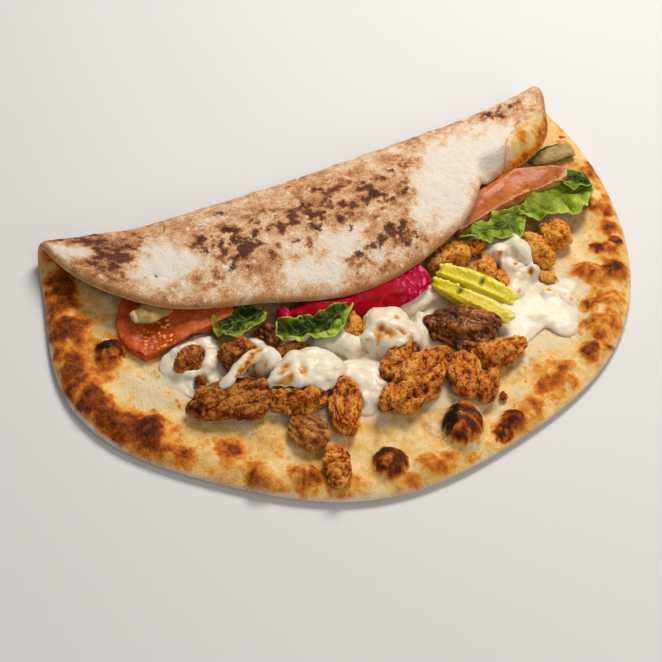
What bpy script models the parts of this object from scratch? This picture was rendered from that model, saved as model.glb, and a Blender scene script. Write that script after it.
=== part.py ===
"""A round flatbread folded over a chicken, melted cheese and salad filling.

Lengths are in metres. +X runs along the fold, +Y points back to the fold and +Z is up. The origin is on the
surface that the bread lies on, under the middle of the folded bread. The bread is laid out flat first, as a
wavy disc, and its back third is then rolled up and over. The toppings are set on it from the bread upwards,
and each later piece is cut clear of those already there.
"""

import math

import bmesh
import bpy
import numpy as np
from mathutils import Vector, geometry, noise
from mathutils.bvhtree import BVHTree

MM = 0.001
GAP = 0.4 * MM
WHOLE = 9999  # more facets than any cutter has
INSIDE_HEIGHT = 9 * MM  # a height that lies between the dough and the flap everywhere in the fold

# The flat disc: its middle, its mean radius, and the waves that make its hand-stretched outline.
DISC_MIDDLE = (-3.0 * MM, 47.2 * MM)
DISC_RADIUS = 146.5 * MM
OUTLINE_WAVES = (
    (1, 2.9 * MM, -4.3 * MM),
    (2, 4.6 * MM, 3.1 * MM),
    (3, 0.2 * MM, 2.2 * MM),
    (4, -2.1 * MM, 0.2 * MM),
    (5, 0.7 * MM, -0.1 * MM),
    (6, -2.0 * MM, 1.9 * MM),
    (7, 0.6 * MM, -1.1 * MM),
)
# Where a corner was pulled out or sits back, as angle, half width and reach: the left corner of the flap, the
# ear at its right end, and the notch beside the ear.
CORNERS = (
    (math.radians(144), math.radians(8), 2.8 * MM),
    (math.radians(37), math.radians(8), 12.0 * MM),
    (math.radians(51), math.radians(8), -12.0 * MM),
)

# The dough in section: a thin sheet with a puffed, rounded rim.
SHEET = 4.4 * MM
RIM_RISE = 2.6 * MM
RIM_FROM_EDGE = 9.0 * MM
RIM_WIDTH = 7.0 * MM
EDGE_ROUND = 5.0 * MM
EDGE_HEIGHT = 3.0 * MM

# The fold: where it crosses the disc, how wide it rolls, and how the flap rises and then drops.
FOLD_STATIONS = (-131, -93, -38, 42, 120, 142)
FOLD_BEHIND = (38.5, 27, 24, 27, 35, 40.5)
ROLL_STATIONS = (-131, -75, 0, 142)
ROLL_RADII = (9.0, 11.0, 12.5, 14.0)
FLAP_RISE = math.radians(9)
FLAP_DROOP = math.radians(20)
FLAP_LENGTH = 80 * MM
LIP_DROP = 10 * MM
LIP_DEPTH = 12 * MM
LIP_STARTS = 76 * MM

# Oval blisters in the dough, from the flat disc's middle: x, y, half width, half length and rise, in mm.
# Their length is turned a little to the right of straight back.
BLISTERS = (
    (13.4, -126.8, 9.5, 12.4, 12),
    (-24.2, -132.4, 8.2, 9, 6.4),
    (-119.5, -28.6, 7, 8, 6),
    (-113.8, -76.1, 8, 8, 3.6),
    (-78.4, -119.9, 6.5, 6.5, 3.6),
    (-60.7, -124.9, 6.2, 6.2, 3.6),
    (34.8, -132, 5.2, 5.2, 2.8),
    (122.2, -72.2, 8, 8, 3.6),
    (110.8, -65.1, 7, 7, 3),
)
BLISTER_TURN = math.radians(22)
BLISTER_FULLNESS = 0.6

# Toppings are strung along stations: x and y from the flat disc's middle, half width, and in most the height
# of their middle above the table, all in mm. A chicken piece gives its height and facets first, and lies on
# the dough.
CHICKEN = (
    (13, 3, (-96.7, -75.7, 3.5), (-87.5, -75.9, 8), (-75.5, -77.8, 10), (-64.9, -78.5, 9), (-59.4, -78.9, 5)),
    (12, 2, (-72.2, -49.0, 4), (-65.6, -53.6, 8), (-58.9, -59.5, 6)),
    (13, 3, (-61.3, -82.9, 4.5), (-52.9, -84.6, 9), (-43.9, -88.2, 9), (-36.2, -90.7, 5)),
    (12, 2, (-32.3, -83.4, 4), (-28.2, -91.2, 6), (-31.2, -100.8, 7.5), (-36, -107.6, 6),
     (-32.4, -114.9, 2.5)),
    (10, 2, (-56.9, -96.0, 4), (-53.0, -101.7, 8), (-49.1, -109.6, 8), (-46.8, -114.5, 4)),
    (9, 2, (-42.9, -116.3, 3.5), (-45.3, -122.5, 6.2), (-47.0, -129.0, 6.2), (-49.6, -134.8, 5),
     (-51, -138, 3)),
    (10, 2, (-94.5, -51.0, 2.5), (-87.2, -47.7, 6), (-80.1, -43.6, 5)),
    (5, 2, (-88.8, -59.3, 2.5), (-86.3, -60.3, 3.5), (-83.6, -62.1, 2.5)),
    (13, 3, (25.0, -88.4, 5), (15.5, -93.4, 8), (5.0, -99.0, 11), (-7.0, -103.8, 9), (-18.8, -107.4, 4)),
    (12, 2, (-7.5, -51.2, 4), (-12.6, -59.7, 6.5), (-15.0, -66.5, 4)),
    (11, 2, (12.5, -77.3, 4.5), (4.6, -83.6, 7.5), (-3.8, -87.8, 7), (-9.4, -91.7, 3)),
    (14, 3, (19.9, -69.9, 5), (29.6, -73.2, 9), (37.6, -81.1, 11), (47.2, -83.7, 8), (53.0, -83.4, 4)),
    (12, 2, (29.0, -92.8, 5), (25.1, -101.8, 8), (22.8, -109.5, 6), (21.2, -114.9, 3.5)),
    (11, 2, (34.2, -92.5, 4), (40.8, -97.8, 8), (48.9, -99.8, 6.5), (59.5, -96.4, 2)),
    (11, 2, (36.3, -104.7, 5), (32.8, -112.6, 7), (28.3, -121.6, 3.5)),
    (4, 2, (35.3, -119.2, 2.0), (36.8, -119.2, 2.8), (39.0, -118.9, 2.0)),
    (12, 2, (37.9, -37.9, 2.5), (47.6, -35.4, 7), (55.8, -35.2, 7), (61.0, -35.8, 4)),
    (10, 2, (67.7, -41.1, 4), (63.3, -48.7, 6.5), (61.7, -57.2, 3.5)),
    (11, 2, (89.7, -34.5, 3.5), (91.9, -42.0, 6.5), (92.8, -52.6, 6), (92.1, -60.2, 3.5)),
    (12, 2, (101.9, -32.5, 5), (104.7, -41.8, 8.5), (107.7, -49.7, 5)),
    (9, 2, (60.5, -34.8, 3), (65.3, -33.8, 5), (70.2, -32.9, 3)),
    (4, 2, (88.1, -57.2, 2.5), (89.7, -61.4, 4), (93.4, -65.8, 1.2)),
    (6, 2, (69.1, -50.5, 2.5), (67.8, -56.3, 4), (66.9, -62.3, 2)),
    (10, 2, (-50.2, -40.8, 4), (-48.9, -47.9, 6), (-46.7, -54.0, 3.5)),
    (9, 2, (-48.5, -59.9, 3), (-41.7, -61.4, 4.5), (-34.7, -63.6, 3.5)),
)

# Melted cheese: a low pool over the dough, and the thicker runs, drapes and knobs that flow into it.
CHEESE = (
    (4, (-106.6, -49.1, 8, 6.6), (-72.9, -62.8, 20, 6.6), (-29.6, -76.7, 27, 6.6), (20.6, -76.8, 30, 6.6),
     (70.9, -70.5, 25, 6.6), (103.8, -69.9, 9, 6.6)),
    (7, (-102.8, -46.3, 5, 7), (-91.4, -46.8, 13, 8), (-78.6, -44.4, 13, 8), (-69.5, -44.9, 7, 8)),
    (15, (-53.0, -59.2, 5, 13), (-56.9, -64.6, 8.5, 13), (-57.5, -71.5, 6.5, 12)),
    (5, (-53.7, -64.5, 3.5, 20), (-62.3, -64.7, 3.5, 20), (-72.7, -72.7, 3, 20), (-83.3, -75.5, 3.5, 15.5)),
    (11, (-60.8, -80.4, 5, 14), (-49.8, -79.3, 10, 16), (-36.9, -80.4, 12, 15.5), (-23.7, -80.3, 10, 12)),
    (6, (-30.7, -79.5, 12, 10), (-20.3, -87.4, 14, 8.5), (-10.0, -94.5, 12, 7.5), (-3.3, -99.2, 7, 7)),
    (4.5, (-13.8, -91.7, 11, 7.5), (-20.9, -98.1, 9, 7), (-25.1, -104.6, 4, 6)),
    (12, (-3.0, -55.8, 8, 12), (1.5, -65.2, 14, 12.5), (3.6, -75.5, 14, 11.5), (-1.6, -80.7, 10, 8.5)),
    (6, (24.0, -60.0, 4, 9), (19.0, -69.0, 4.5, 10), (15.5, -78.0, 4.5, 9.5), (13.0, -85.0, 3.5, 8.5)),
    (10, (-35.5, -58.1, 5, 8), (-27.8, -62.6, 9, 11), (-20.0, -65.4, 7, 12), (-12.3, -73.2, 9, 10)),
    (8, (63.5, -37.7, 4, 8.5), (72.3, -38.2, 8, 9.5), (79.8, -41.6, 8, 10), (84.7, -51.3, 6, 9)),
    (6, (82.0, -35.1, 4, 12), (83.1, -45.4, 5, 13), (86.4, -54.5, 4, 10)),
    (7, (73.5, -44.9, 6, 9.5), (77.0, -55.0, 8, 8.5), (71.0, -62.8, 9, 7), (64.5, -70.5, 7, 6.6)),
    (7, (82.1, -54.8, 3, 8.5), (84.3, -57.7, 4.5, 9), (87.5, -60.1, 3, 8)),
    (4.4, (60.5, -70.0, 8, 6.8), (75.2, -72.6, 16, 6.8), (85.8, -80.9, 14, 6.7), (82.4, -98.7, 7, 6.6)),
    (6, (13.1, -58.0, 3, 10), (24.1, -53.0, 7, 10), (37.6, -51.3, 6, 9)),
    (8, (51.3, -42.8, 3.5, 9), (56.4, -43.0, 4.5, 10), (60.7, -46.6, 3, 9)),
    (6, (-66.3, -44.2, 3, 8), (-58.0, -48.5, 4.5, 9), (-50.1, -53.7, 4, 9)),
)
CHEESE_FACETS = (3, 2, 2, 2, 3, 3, 2, 3, 2, 2, 2, 2, 2, 2, 3, 2, 2, 2)

# The cut vegetables: name, material, height, and their stations.
TOMATO_WEDGE = (
    (60.4, -22.2, 2.6, 11), (72.0, -17.2, 5.2, 12.5), (84.0, -11.6, 7.2, 12.8), (96.5, -7.2, 8.6, 13.2),
    (108.5, -7.6, 7.4, 13.6), (119.0, -9.4, 5, 14.4), (127.0, -12.0, 2.4, 15.4),
)
# Its section, in shares of half the width and thickness: a cut face leans back from a ridge along its front.
WEDGE_SECTION = ((-0.95, -1), (-0.9, 0.3), (1, 1), (0.9, -1))
WEDGE_THICK = 14 * MM
VEGETABLES = (
    ("cucumber_left", "cucumber", 4, (-105.6, -19.5, 3.5, 14.5), (-97.7, -18.4, 7, 15),
     (-85.6, -17.2, 7, 15.5)),
    ("cucumber_right", "cucumber", 4.5, (119.6, 12.0, 3.2, 7.4), (133.0, 13.0, 6.6, 8.2),
     (145.0, 10.4, 5.6, 9.8)),
    ("turnip_strip", "turnip", 7, (-38.7, -42.1, 2.5, 12), (-21.4, -44.1, 7, 13), (-2.2, -46.8, 10, 14),
     (16.0, -46.3, 13, 15), (33.4, -43.6, 9, 15)),
    ("turnip_tip", "turnip", 6, (-38.1, -37.9, 3, 13), (-38.5, -44.4, 4, 13), (-39.1, -49.8, 2.2, 12)),
    ("pepper_back", "pepper", 6, (38.1, -44.8, 4, 15), (46.6, -53.5, 6.5, 16), (56.6, -65.1, 6.5, 16),
     (65.2, -77.6, 4, 14)),
    ("pepper_front", "pepper", 6, (33.3, -48.6, 3, 13), (40.9, -60.2, 6, 14), (49.8, -74.0, 6, 14),
     (59.0, -85.9, 3, 12)),
)
LEAVES = (
    ((-72.0, -36.9, 7, 9), (-65.2, -37.7, 9, 10), (-56.8, -38.9, 9, 10), (-46.9, -39.0, 5, 10)),
    ((-46.4, -52.1, 5, 9), (-36.0, -55.9, 8, 10), (-24.8, -58.8, 9, 11), (-10.6, -53.6, 6, 12)),
    ((57.4, -29.5, 3, 9), (70.2, -29.9, 6, 9), (83.2, -29.3, 8, 9), (95.3, -23.0, 5, 10)),
    ((92.9, -24.2, 5, 9), (104.0, -25.6, 9, 10), (118.9, -21.5, 14, 10), (136.7, -18.9, 9, 9)),
    ((116.0, -8.0, 4, 11), (124.0, -10.5, 6, 12), (131.0, -15.5, 6, 11), (137.0, -21.0, 3, 10)),
)
LEAF_THICK = 1.1 * MM
LEAF_RUFFLE = 1.5 * MM

# The slice of tomato at the left, cut off in front and rising to the right.
SLICE_MIDDLE = (-85 * MM, -20 * MM)
SLICE_RADIUS = 28 * MM
SLICE_ARC = (math.radians(222), math.radians(-32))
SLICE_THICK = 6 * MM
SLICE_HEIGHT = 9.8 * MM
SLICE_SLOPE = 0.13

# The filling that runs on under the flap.
HEAP_ENDS = (-112 * MM, 104 * MM)
HEAP_SET_BACK = 13 * MM


def smooth(value):
    """Runs smoothly from 0 to 1 as value does."""
    value = np.clip(value, 0, 1)
    return value * value * (3 - 2 * value)


def outline_radius(angle):
    """Radius of the flat disc towards an angle about its middle."""
    radius = DISC_RADIUS + 0 * angle
    for waves, cosine, sine in OUTLINE_WAVES:
        radius = radius + cosine * np.cos(waves * angle) + sine * np.sin(waves * angle)
    for middle, width, reach in CORNERS:
        radius = radius + reach * np.exp(-(((angle - middle) / width) ** 2))
    return radius


def from_edge(x, y):
    """Distance in from the disc's outline, along a radius."""
    return outline_radius(np.arctan2(y, x)) - np.hypot(x, y)


def along(x, stations, values):
    """A value in millimetres, given at stations along the fold, eased between them."""
    knots = np.array(stations, float) * MM
    marks = np.array(values, float) * MM
    slopes = np.gradient(marks, knots)
    cell = np.clip(np.searchsorted(knots, x) - 1, 0, len(knots) - 2)
    width = knots[cell + 1] - knots[cell]
    part = np.clip((x - knots[cell]) / width, 0, 1)
    start = (1 + 2 * part) * (1 - part) ** 2
    end = part * part * (3 - 2 * part)
    bends = part * (1 - part) ** 2 * slopes[cell] - part * part * (1 - part) * slopes[cell + 1]
    return start * marks[cell] + end * marks[cell + 1] + bends * width


def fold(x, y, height):
    """Bends flat disc points, at a height above the dough's underside, up and over the fold."""
    crease = along(x, FOLD_STATIONS, FOLD_BEHIND)
    roll = along(x, ROLL_STATIONS, ROLL_RADII)
    past = np.maximum(y - crease, 0)
    turn_end = math.pi - FLAP_RISE
    turned = np.minimum(past / roll, turn_end)
    back = roll * np.sin(turned)
    up = roll * (1 - np.cos(turned))
    beyond = np.maximum(past - roll * turn_end, 0)
    steps = 32
    angle = turned
    for step in range(steps):
        share = beyond * (step + 0.5) / steps / FLAP_LENGTH
        angle = np.where(beyond > 0, turn_end + (FLAP_RISE + FLAP_DROOP) * smooth(share), turned)
        back = back + np.cos(angle) * beyond / steps
        up = up + np.sin(angle) * beyond / steps
    back = back - np.sin(angle) * height
    up = up + np.cos(angle) * height
    lip = smooth(1 - from_edge(x, y) / LIP_DEPTH) * smooth(beyond / LIP_DEPTH)
    up = up - LIP_DROP * lip * smooth((x - LIP_STARTS) / LIP_DEPTH)
    return np.stack([DISC_MIDDLE[0] + x, DISC_MIDDLE[1] + np.minimum(y, crease) + back, up], axis=-1)


def blister_share(x, y, row):
    """How far flat places lie from a blister's middle, as a share of its reach."""
    middle_x, middle_y, half_width, half_length, _ = np.array(row) * MM
    cosine, sine = math.cos(BLISTER_TURN), math.sin(BLISTER_TURN)
    across = (x - middle_x) * cosine - (y - middle_y) * sine
    length = (x - middle_x) * sine + (y - middle_y) * cosine
    return np.hypot(across / half_width, length / half_length)


def dough_faces(x, y):
    """Heights of the dough's underside and top above the table, for flat disc points."""
    edge = from_edge(x, y)
    rounding = np.sqrt(1 - (1 - np.clip(edge / EDGE_ROUND, 0, 1)) ** 2)
    top = SHEET + RIM_RISE * np.exp(-(((edge - RIM_FROM_EDGE) / RIM_WIDTH) ** 2))
    for row in BLISTERS:
        top = top + row[4] * MM * np.maximum(1 - blister_share(x, y, row) ** 2, 0) ** BLISTER_FULLNESS
    return EDGE_HEIGHT * (1 - rounding), EDGE_HEIGHT + (top - EDGE_HEIGHT) * rounding


def blister_points():
    """Rings of flat points that carry each blister."""
    rings = [(0, 1), (0.5, 6), (0.85, 9), (1.02, 11)]
    cosine, sine = math.cos(BLISTER_TURN), math.sin(BLISTER_TURN)
    points = []
    for x, y, half_width, half_length, _ in np.array(BLISTERS) * MM:
        for share, count in rings:
            turned = (np.arange(count) + share) * 2 * math.pi / count
            across, length = half_width * share * np.cos(turned), half_length * share * np.sin(turned)
            turned_x, turned_y = across * cosine + length * sine, length * cosine - across * sine
            points.append(np.stack([x + turned_x, y + turned_y], axis=1))
    return np.concatenate(points)


def off_blisters(points):
    """Which flat points lie clear of every blister."""
    clear = np.ones(len(points), bool)
    for row in BLISTERS:
        clear &= blister_share(points[:, 0], points[:, 1], row) > 1.3
    return clear


def disc_mesh(spacing, roll_spacing, rings):
    """Flat points over the disc and the triangles between them, closer together where the dough rolls."""
    count = int(2 * math.pi * DISC_RADIUS / spacing)
    angles = np.arange(count) * 2 * math.pi / count
    loops = []
    for number, inset in enumerate(rings):
        turned = angles + (number % 2) * math.pi / count
        radius = outline_radius(turned) - inset
        loop = np.stack([radius * np.cos(turned), radius * np.sin(turned)], axis=1)
        loops.append(loop if number == 0 else loop[off_blisters(loop)])
    rows = []
    y = -DISC_RADIUS
    row = 0
    while y < DISC_RADIUS:
        rolling = -spacing < y - FOLD_BEHIND[3] * MM < math.pi * ROLL_RADII[3] * MM
        stagger = 0 if rolling else (row % 2) * spacing / 2
        x = np.arange(-DISC_RADIUS, DISC_RADIUS, spacing) + stagger
        bow = along(x, FOLD_STATIONS, FOLD_BEHIND) - along(np.zeros(1), FOLD_STATIONS, FOLD_BEHIND)
        rows.append(np.stack([x, y + bow], axis=1))
        y += roll_spacing if rolling else spacing * math.sqrt(3) / 2
        row += 1
    inner = np.concatenate(rows)
    inner = inner[from_edge(inner[:, 0], inner[:, 1]) > rings[-1] + spacing * 0.55]
    blisters = blister_points()
    blisters = blisters[from_edge(blisters[:, 0], blisters[:, 1]) > rings[1]]
    points = np.concatenate([*loops, inner[off_blisters(inner)], blisters])
    inside = 1
    outline = list(range(count))
    made = geometry.delaunay_2d_cdt([Vector(p) for p in points.tolist()], [], [outline], inside, 1e-7)
    flat = np.array([tuple(p) for p in made[0]])
    return flat, made[2], count


def closed_sheet(flat, triangles, rim_count):
    """Faces of a closed body whose two sides share the triangles and meet along the rim's points."""
    total = len(flat)
    under = np.arange(total)
    under[rim_count:] += total - rim_count
    faces = []
    for a, b, c in triangles:
        ab, ac = flat[b] - flat[a], flat[c] - flat[a]
        if ab[0] * ac[1] - ab[1] * ac[0] < 0:
            b, c = c, b
        faces.append((a, b, c))
        faces.append((int(under[a]), int(under[c]), int(under[b])))
    return faces


def add(name, points, faces, material):
    """A named object from points in metres, shaded smooth."""
    mesh = bpy.data.meshes.new(name)
    mesh.from_pydata([tuple(p) for p in points], [], faces)
    mesh.materials.append(material)
    mesh.validate()
    mesh.shade_smooth()
    made = bpy.data.objects.new(name, mesh)
    bpy.context.scene.collection.objects.link(made)
    return made


def finish(name, colour, roughness):
    """A plain material of one colour."""
    made = bpy.data.materials.new(name)
    made.use_nodes = True
    shader = made.node_tree.nodes["Principled BSDF"]
    shader.inputs["Base Color"].default_value = (*colour, 1)
    shader.inputs["Roughness"].default_value = roughness
    return made


def tree_of(made):
    """A tree for casting rays at an object."""
    corners = [v.co for v in made.data.vertices]
    return BVHTree.FromPolygons(corners, [p.vertices for p in made.data.polygons])


def settle(points, bread, clearance=GAP):
    """Keeps points between the dough that they lie on and the flap over them."""
    tree = tree_of(bread)
    for point in points:
        start = Vector((point[0], point[1], INSIDE_HEIGHT))
        floor = tree.ray_cast(start, Vector((0, 0, -1)))[0]
        if floor:
            point[2] = max(point[2], floor.z + clearance)
        flap = tree.ray_cast(start, Vector((0, 0, 1)))[0]
        if flap:
            point[2] = min(point[2], flap.z - clearance)
    return points


def drape(points, bed):
    """Lifts points that lie inside or under the pieces of a bed onto them."""
    for piece in bed:
        tree = tree_of(piece)
        for point in points:
            top = tree.ray_cast(Vector((point[0], point[1], 1)), Vector((0, 0, -1)))[0]
            if top:
                point[2] = max(point[2], top.z + 2 * GAP)
    return points


def ease(heights):
    """Lifts a grid of heights towards the mean of its neighbours, so that no step in it is steep."""
    for _ in range(4):
        padded = np.pad(heights, 1, mode="edge")
        mean = (padded[:-2, 1:-1] + padded[2:, 1:-1] + padded[1:-1, :-2] + padded[1:-1, 2:]) / 4
        heights[:] = np.maximum(heights, 0.25 * heights + 0.75 * mean)


def grid_normals(grid):
    """Unit normals of a grid of points, facing up."""
    normals = np.cross(np.gradient(grid, axis=1), np.gradient(grid, axis=0))
    normals *= np.sign(normals[:, :, 2:])
    return normals / np.linalg.norm(normals, axis=2, keepdims=True)


def ball(level):
    """Points and faces of a unit ball of triangles."""
    made = bmesh.new()
    bmesh.ops.create_icosphere(made, subdivisions=level, radius=1)
    points = np.array([tuple(v.co) for v in made.verts])
    faces = [tuple(v.index for v in f.verts) for f in made.faces]
    made.free()
    return points, faces


def spine_at(stations, place):
    """Values of the stations, and the direction across them, at places from -1 to 1 along them."""
    table = np.array(stations, float) * MM
    marks = np.linspace(-1, 1, len(stations))
    x, y, half, middle = (np.interp(place, marks, column) for column in table.T)
    slope_x, slope_y = (np.interp(place, marks, np.gradient(table[:, column], marks)) for column in (0, 1))
    length = np.hypot(slope_x, slope_y)
    return DISC_MIDDLE[0] + x, DISC_MIDDLE[1] + y, half, middle, -slope_y / length, slope_x / length


def lump(stations, height, level, rough, seed, blunt=0.2):
    """A rounded, uneven body strung along stations of x, y, half width and middle height, in mm."""
    unit, faces = ball(level)
    x, y, half, middle, across_x, across_y = spine_at(stations, unit[:, 0])
    full = 1 / np.maximum(1 - unit[:, 0] ** 2, 0.05) ** blunt
    swell = np.array([noise.noise(Vector(p) * 1.7 + Vector((seed * 7.3, seed, -seed))) for p in unit])
    swell = 1 + rough * swell
    side = unit[:, 1] * full * swell * half
    up = unit[:, 2] * full * swell * height / 2 * MM
    return np.stack([x + across_x * side, y + across_y * side, middle + up], axis=1), faces


def wedge(stations, section, thick, seed, rings=15, side_points=4):
    """A body with flat faces, strung along stations, with this section."""
    corners = np.array(section + section[:1], float)
    marks = np.arange(len(corners) * side_points - side_points) / side_points
    outline = np.stack([np.interp(marks, np.arange(len(corners)), column) for column in corners.T], axis=1)
    outline = outline * 0.9 + np.roll(outline, 1, axis=0) * 0.05 + np.roll(outline, -1, axis=0) * 0.05
    place = np.sin(np.linspace(-math.pi / 2, math.pi / 2, rings + 2))
    x, y, half, middle, across_x, across_y = spine_at(stations, place)
    full = np.maximum(1 - place**2, 0) ** 0.12
    points = []
    for index in range(rings + 2):
        shape = outline if 0 < index <= rings else np.zeros((1, 2))
        depth = place[index] * 3
        swell = [noise.noise(Vector((*p, depth)) * 1.3 + Vector((seed, 0, 0))) for p in shape.tolist()]
        shape = shape * full[index] * (1 + 0.14 * np.array(swell))[:, None]
        side = shape[:, 0] * half[index]
        up = middle[index] + shape[:, 1] * thick / 2
        plan = [x[index] + across_x[index] * side, y[index] + across_y[index] * side]
        points.append(np.stack([*plan, up], axis=1))
    count, last = len(outline), 1 + rings * len(outline)
    faces = []
    for spot in range(count):
        after = (spot + 1) % count
        faces += [(0, 1 + spot, 1 + after), (last, last - count + after, last - count + spot)]
        for ring in range(rings - 1):
            a, b = 1 + ring * count + spot, 1 + ring * count + after
            faces += [(a, b + count, b), (a, a + count, b + count)]
    return np.concatenate(points), faces


def closed(mesh):
    """Whether each edge of a mesh has exactly two faces."""
    work = bmesh.new()
    work.from_mesh(mesh)
    whole = all(edge.is_manifold for edge in work.edges)
    work.free()
    return whole


def simplified(made, most):
    """Leaves an object about this many triangles, or somewhat more where fewer would open it."""
    count = sum(len(face.vertices) - 2 for face in made.data.polygons)
    original = made.data
    for extra in (1, 1.1, 1.25, 1.5):
        if count > most * extra:
            made.data = original
            modifier = made.modifiers.new("fewer", "DECIMATE")
            modifier.ratio = most * extra / count
            combine(made, [])
            if closed(made.data):
                return
            made.data = original


def inflated(made, growth, most):
    """A copy with no more triangles than this, grown outwards to cut its neighbours clear of it."""
    copy = made.copy()
    copy.data = made.data.copy()
    bpy.context.scene.collection.objects.link(copy)
    simplified(copy, most)
    normals = [tuple(v.normal) for v in copy.data.vertices]
    for vertex, normal in zip(copy.data.vertices, normals):
        vertex.co += Vector(normal) * growth
    return copy


def box_of(made):
    """The lowest and highest corner of an object's box."""
    points = np.array([tuple(v.co) for v in made.data.vertices])
    return points.min(axis=0), points.max(axis=0)


def near(first, second):
    """Whether two objects' boxes come within the gap."""
    (low_a, high_a), (low_b, high_b) = box_of(first), box_of(second)
    return bool(np.all(low_a < high_b + GAP) and np.all(low_b < high_a + GAP))


def combine(made, others, operation="UNION"):
    """Joins other objects to this one or cuts them from it, removes them, and applies its modifiers."""
    for other in others:
        modifier = made.modifiers.new(other.name, "BOOLEAN")
        modifier.operation = operation
        modifier.solver = "MANIFOLD"
        modifier.object = other
    graph = bpy.context.evaluated_depsgraph_get()
    mesh = bpy.data.meshes.new_from_object(made.evaluated_get(graph))
    made.modifiers.clear()
    made.data = mesh
    for other in others:
        bpy.data.objects.remove(other)


def keep_largest(made):
    """Drops the scraps that a cut leaves beside a piece."""
    work = bmesh.new()
    work.from_mesh(made.data)
    bmesh.ops.triangulate(work, faces=work.faces)
    left = set(work.verts)
    parts = []
    while left:
        part = [left.pop()]
        for vertex in part:
            for edge in vertex.link_edges:
                other = edge.other_vert(vertex)
                if other in left:
                    left.remove(other)
                    part.append(other)
        parts.append(part)
    parts.sort(key=len)
    for part in parts[:-1]:
        bmesh.ops.delete(work, geom=part, context="VERTS")
    work.to_mesh(made.data)
    work.free()


def cut_clear(made, others, growth, finest):
    """Cuts a piece clear of the others that it meets, and keeps its largest part."""
    cutters = [inflated(other, growth, max(finest, len(other.data.polygons) // 2)) for other in others]
    if cutters:
        combine(made, cutters, "DIFFERENCE")
        keep_largest(made)


def set_down(name, points, faces, material, bread, placed, most=300):
    """Adds a piece clear of what is already there, with its facets kept to a number."""
    made = add(name, points, faces, material)
    close = [other for other in placed if near(made, other)]
    cut_clear(made, close, 2 * GAP, 300)
    simplified(made, most)
    for growth in (0.8 * GAP, 1.2 * GAP, 1.6 * GAP):
        tree = tree_of(made)
        cut_clear(made, [other for other in [bread, *close] if tree.overlap(tree_of(other))], growth, WHOLE)
    made.data.shade_smooth()
    placed.append(made)
    return made


def make_bread():
    """The disc of dough, rolled up and over at the fold."""
    rings = (0, 0.8 * MM, 3.2 * MM, 9 * MM)
    flat, triangles, rim_count = disc_mesh(11 * MM, 5.5 * MM, rings)
    under, top = dough_faces(flat[:, 0], flat[:, 1])
    upper_side = fold(flat[:, 0], flat[:, 1], top)
    lower_side = fold(flat[:, 0], flat[:, 1], under)
    points = np.concatenate([upper_side, lower_side[rim_count:]])
    faces = closed_sheet(flat, triangles, rim_count)
    return add("flatbread", points, faces, finish("crust", (0.8, 0.55, 0.3), 0.7))


def flap_front(x):
    """How far back the flap's free edge lies above each x, from the disc's middle."""
    angles = np.linspace(0.05, math.pi - 0.05, 300)[::-1]
    radius = outline_radius(angles)
    edge = fold(radius * np.cos(angles), radius * np.sin(angles), EDGE_HEIGHT)
    return np.interp(x, edge[:, 0] - DISC_MIDDLE[0], edge[:, 1] - DISC_MIDDLE[1])


def make_heap(bread, placed):
    """The filling that runs on under the flap as far as the fold."""
    columns, rows = 16, 5
    x = np.linspace(*HEAP_ENDS, columns)
    front = flap_front(x) + HEAP_SET_BACK
    back = along(x, FOLD_STATIONS, FOLD_BEHIND)
    share = np.linspace(0, 1, rows)[:, None]
    y = front + (back - front) * share
    uneven = [[noise.noise(Vector((a * 60, b * 60, 3))) for a, b in zip(x, row)] for row in y]
    y = y + 5 * MM * np.array(uneven) * (1 - share)
    grid = np.stack([np.broadcast_to(DISC_MIDDLE[0] + x, y.shape), DISC_MIDDLE[1] + y, 0 * y], axis=2)
    low = grid.reshape(-1, 3).copy()
    high = low.copy()
    low[:, 2] = 0
    high[:, 2] = 1
    settle(low, bread, 3 * GAP)
    settle(high, bread, 3 * GAP)
    from_ends = np.minimum(np.arange(columns), np.arange(columns)[::-1])
    from_sides = np.minimum(np.arange(rows), np.arange(rows)[::-1] + 1)
    inset = np.minimum(from_ends[None, :], from_sides[:, None])
    full = np.sqrt(1 - (1 - np.clip((inset + 0.3) / 2.3, 0, 1)) ** 2).reshape(-1)
    high[:, 2] = low[:, 2] + (high[:, 2] - low[:, 2]) * full
    colour = finish("chicken dark", (0.3, 0.1, 0.03), 0.6)
    set_down("chicken_heap", *sheet_between(low, high, rows, columns), colour, bread, placed)


def sheet_between(low, high, rows, columns):
    """Points and faces of the closed body between two grids of points."""
    total = rows * columns
    faces = []
    for row in range(rows - 1):
        for column in range(columns - 1):
            a = row * columns + column
            b, c, d = a + 1, a + columns + 1, a + columns
            halves = ((a, b, c), (a, c, d)) if (row + column) % 2 else ((a, b, d), (b, c, d))
            for p, q, r in halves:
                faces += [(p + total, q + total, r + total), (p, r, q)]
    rim = [(0, c) for c in range(columns)] + [(r, columns - 1) for r in range(1, rows)]
    rim += [(rows - 1, c) for c in range(columns - 2, -1, -1)] + [(r, 0) for r in range(rows - 2, 0, -1)]
    loop = [r * columns + c for r, c in rim]
    for a, b in zip(loop, loop[1:] + loop[:1]):
        faces += [(a, b, b + total), (a, b + total, a + total)]
    return np.concatenate([low, high]), faces


def make_chicken(bread, placed):
    """The roasted chunks, each resting on the dough."""
    colour = finish("chicken", (0.42, 0.15, 0.04), 0.55)
    for number, (height, level, *stations) in enumerate(CHICKEN):
        middle = SHEET / MM + 0.4 + 0.42 * height
        points, faces = lump([(*station, middle) for station in stations], height, level, 0.45, number + 1)
        set_down(f"chicken_{number + 1:02d}", settle(points, bread), faces, colour, bread, placed, len(faces))


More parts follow.
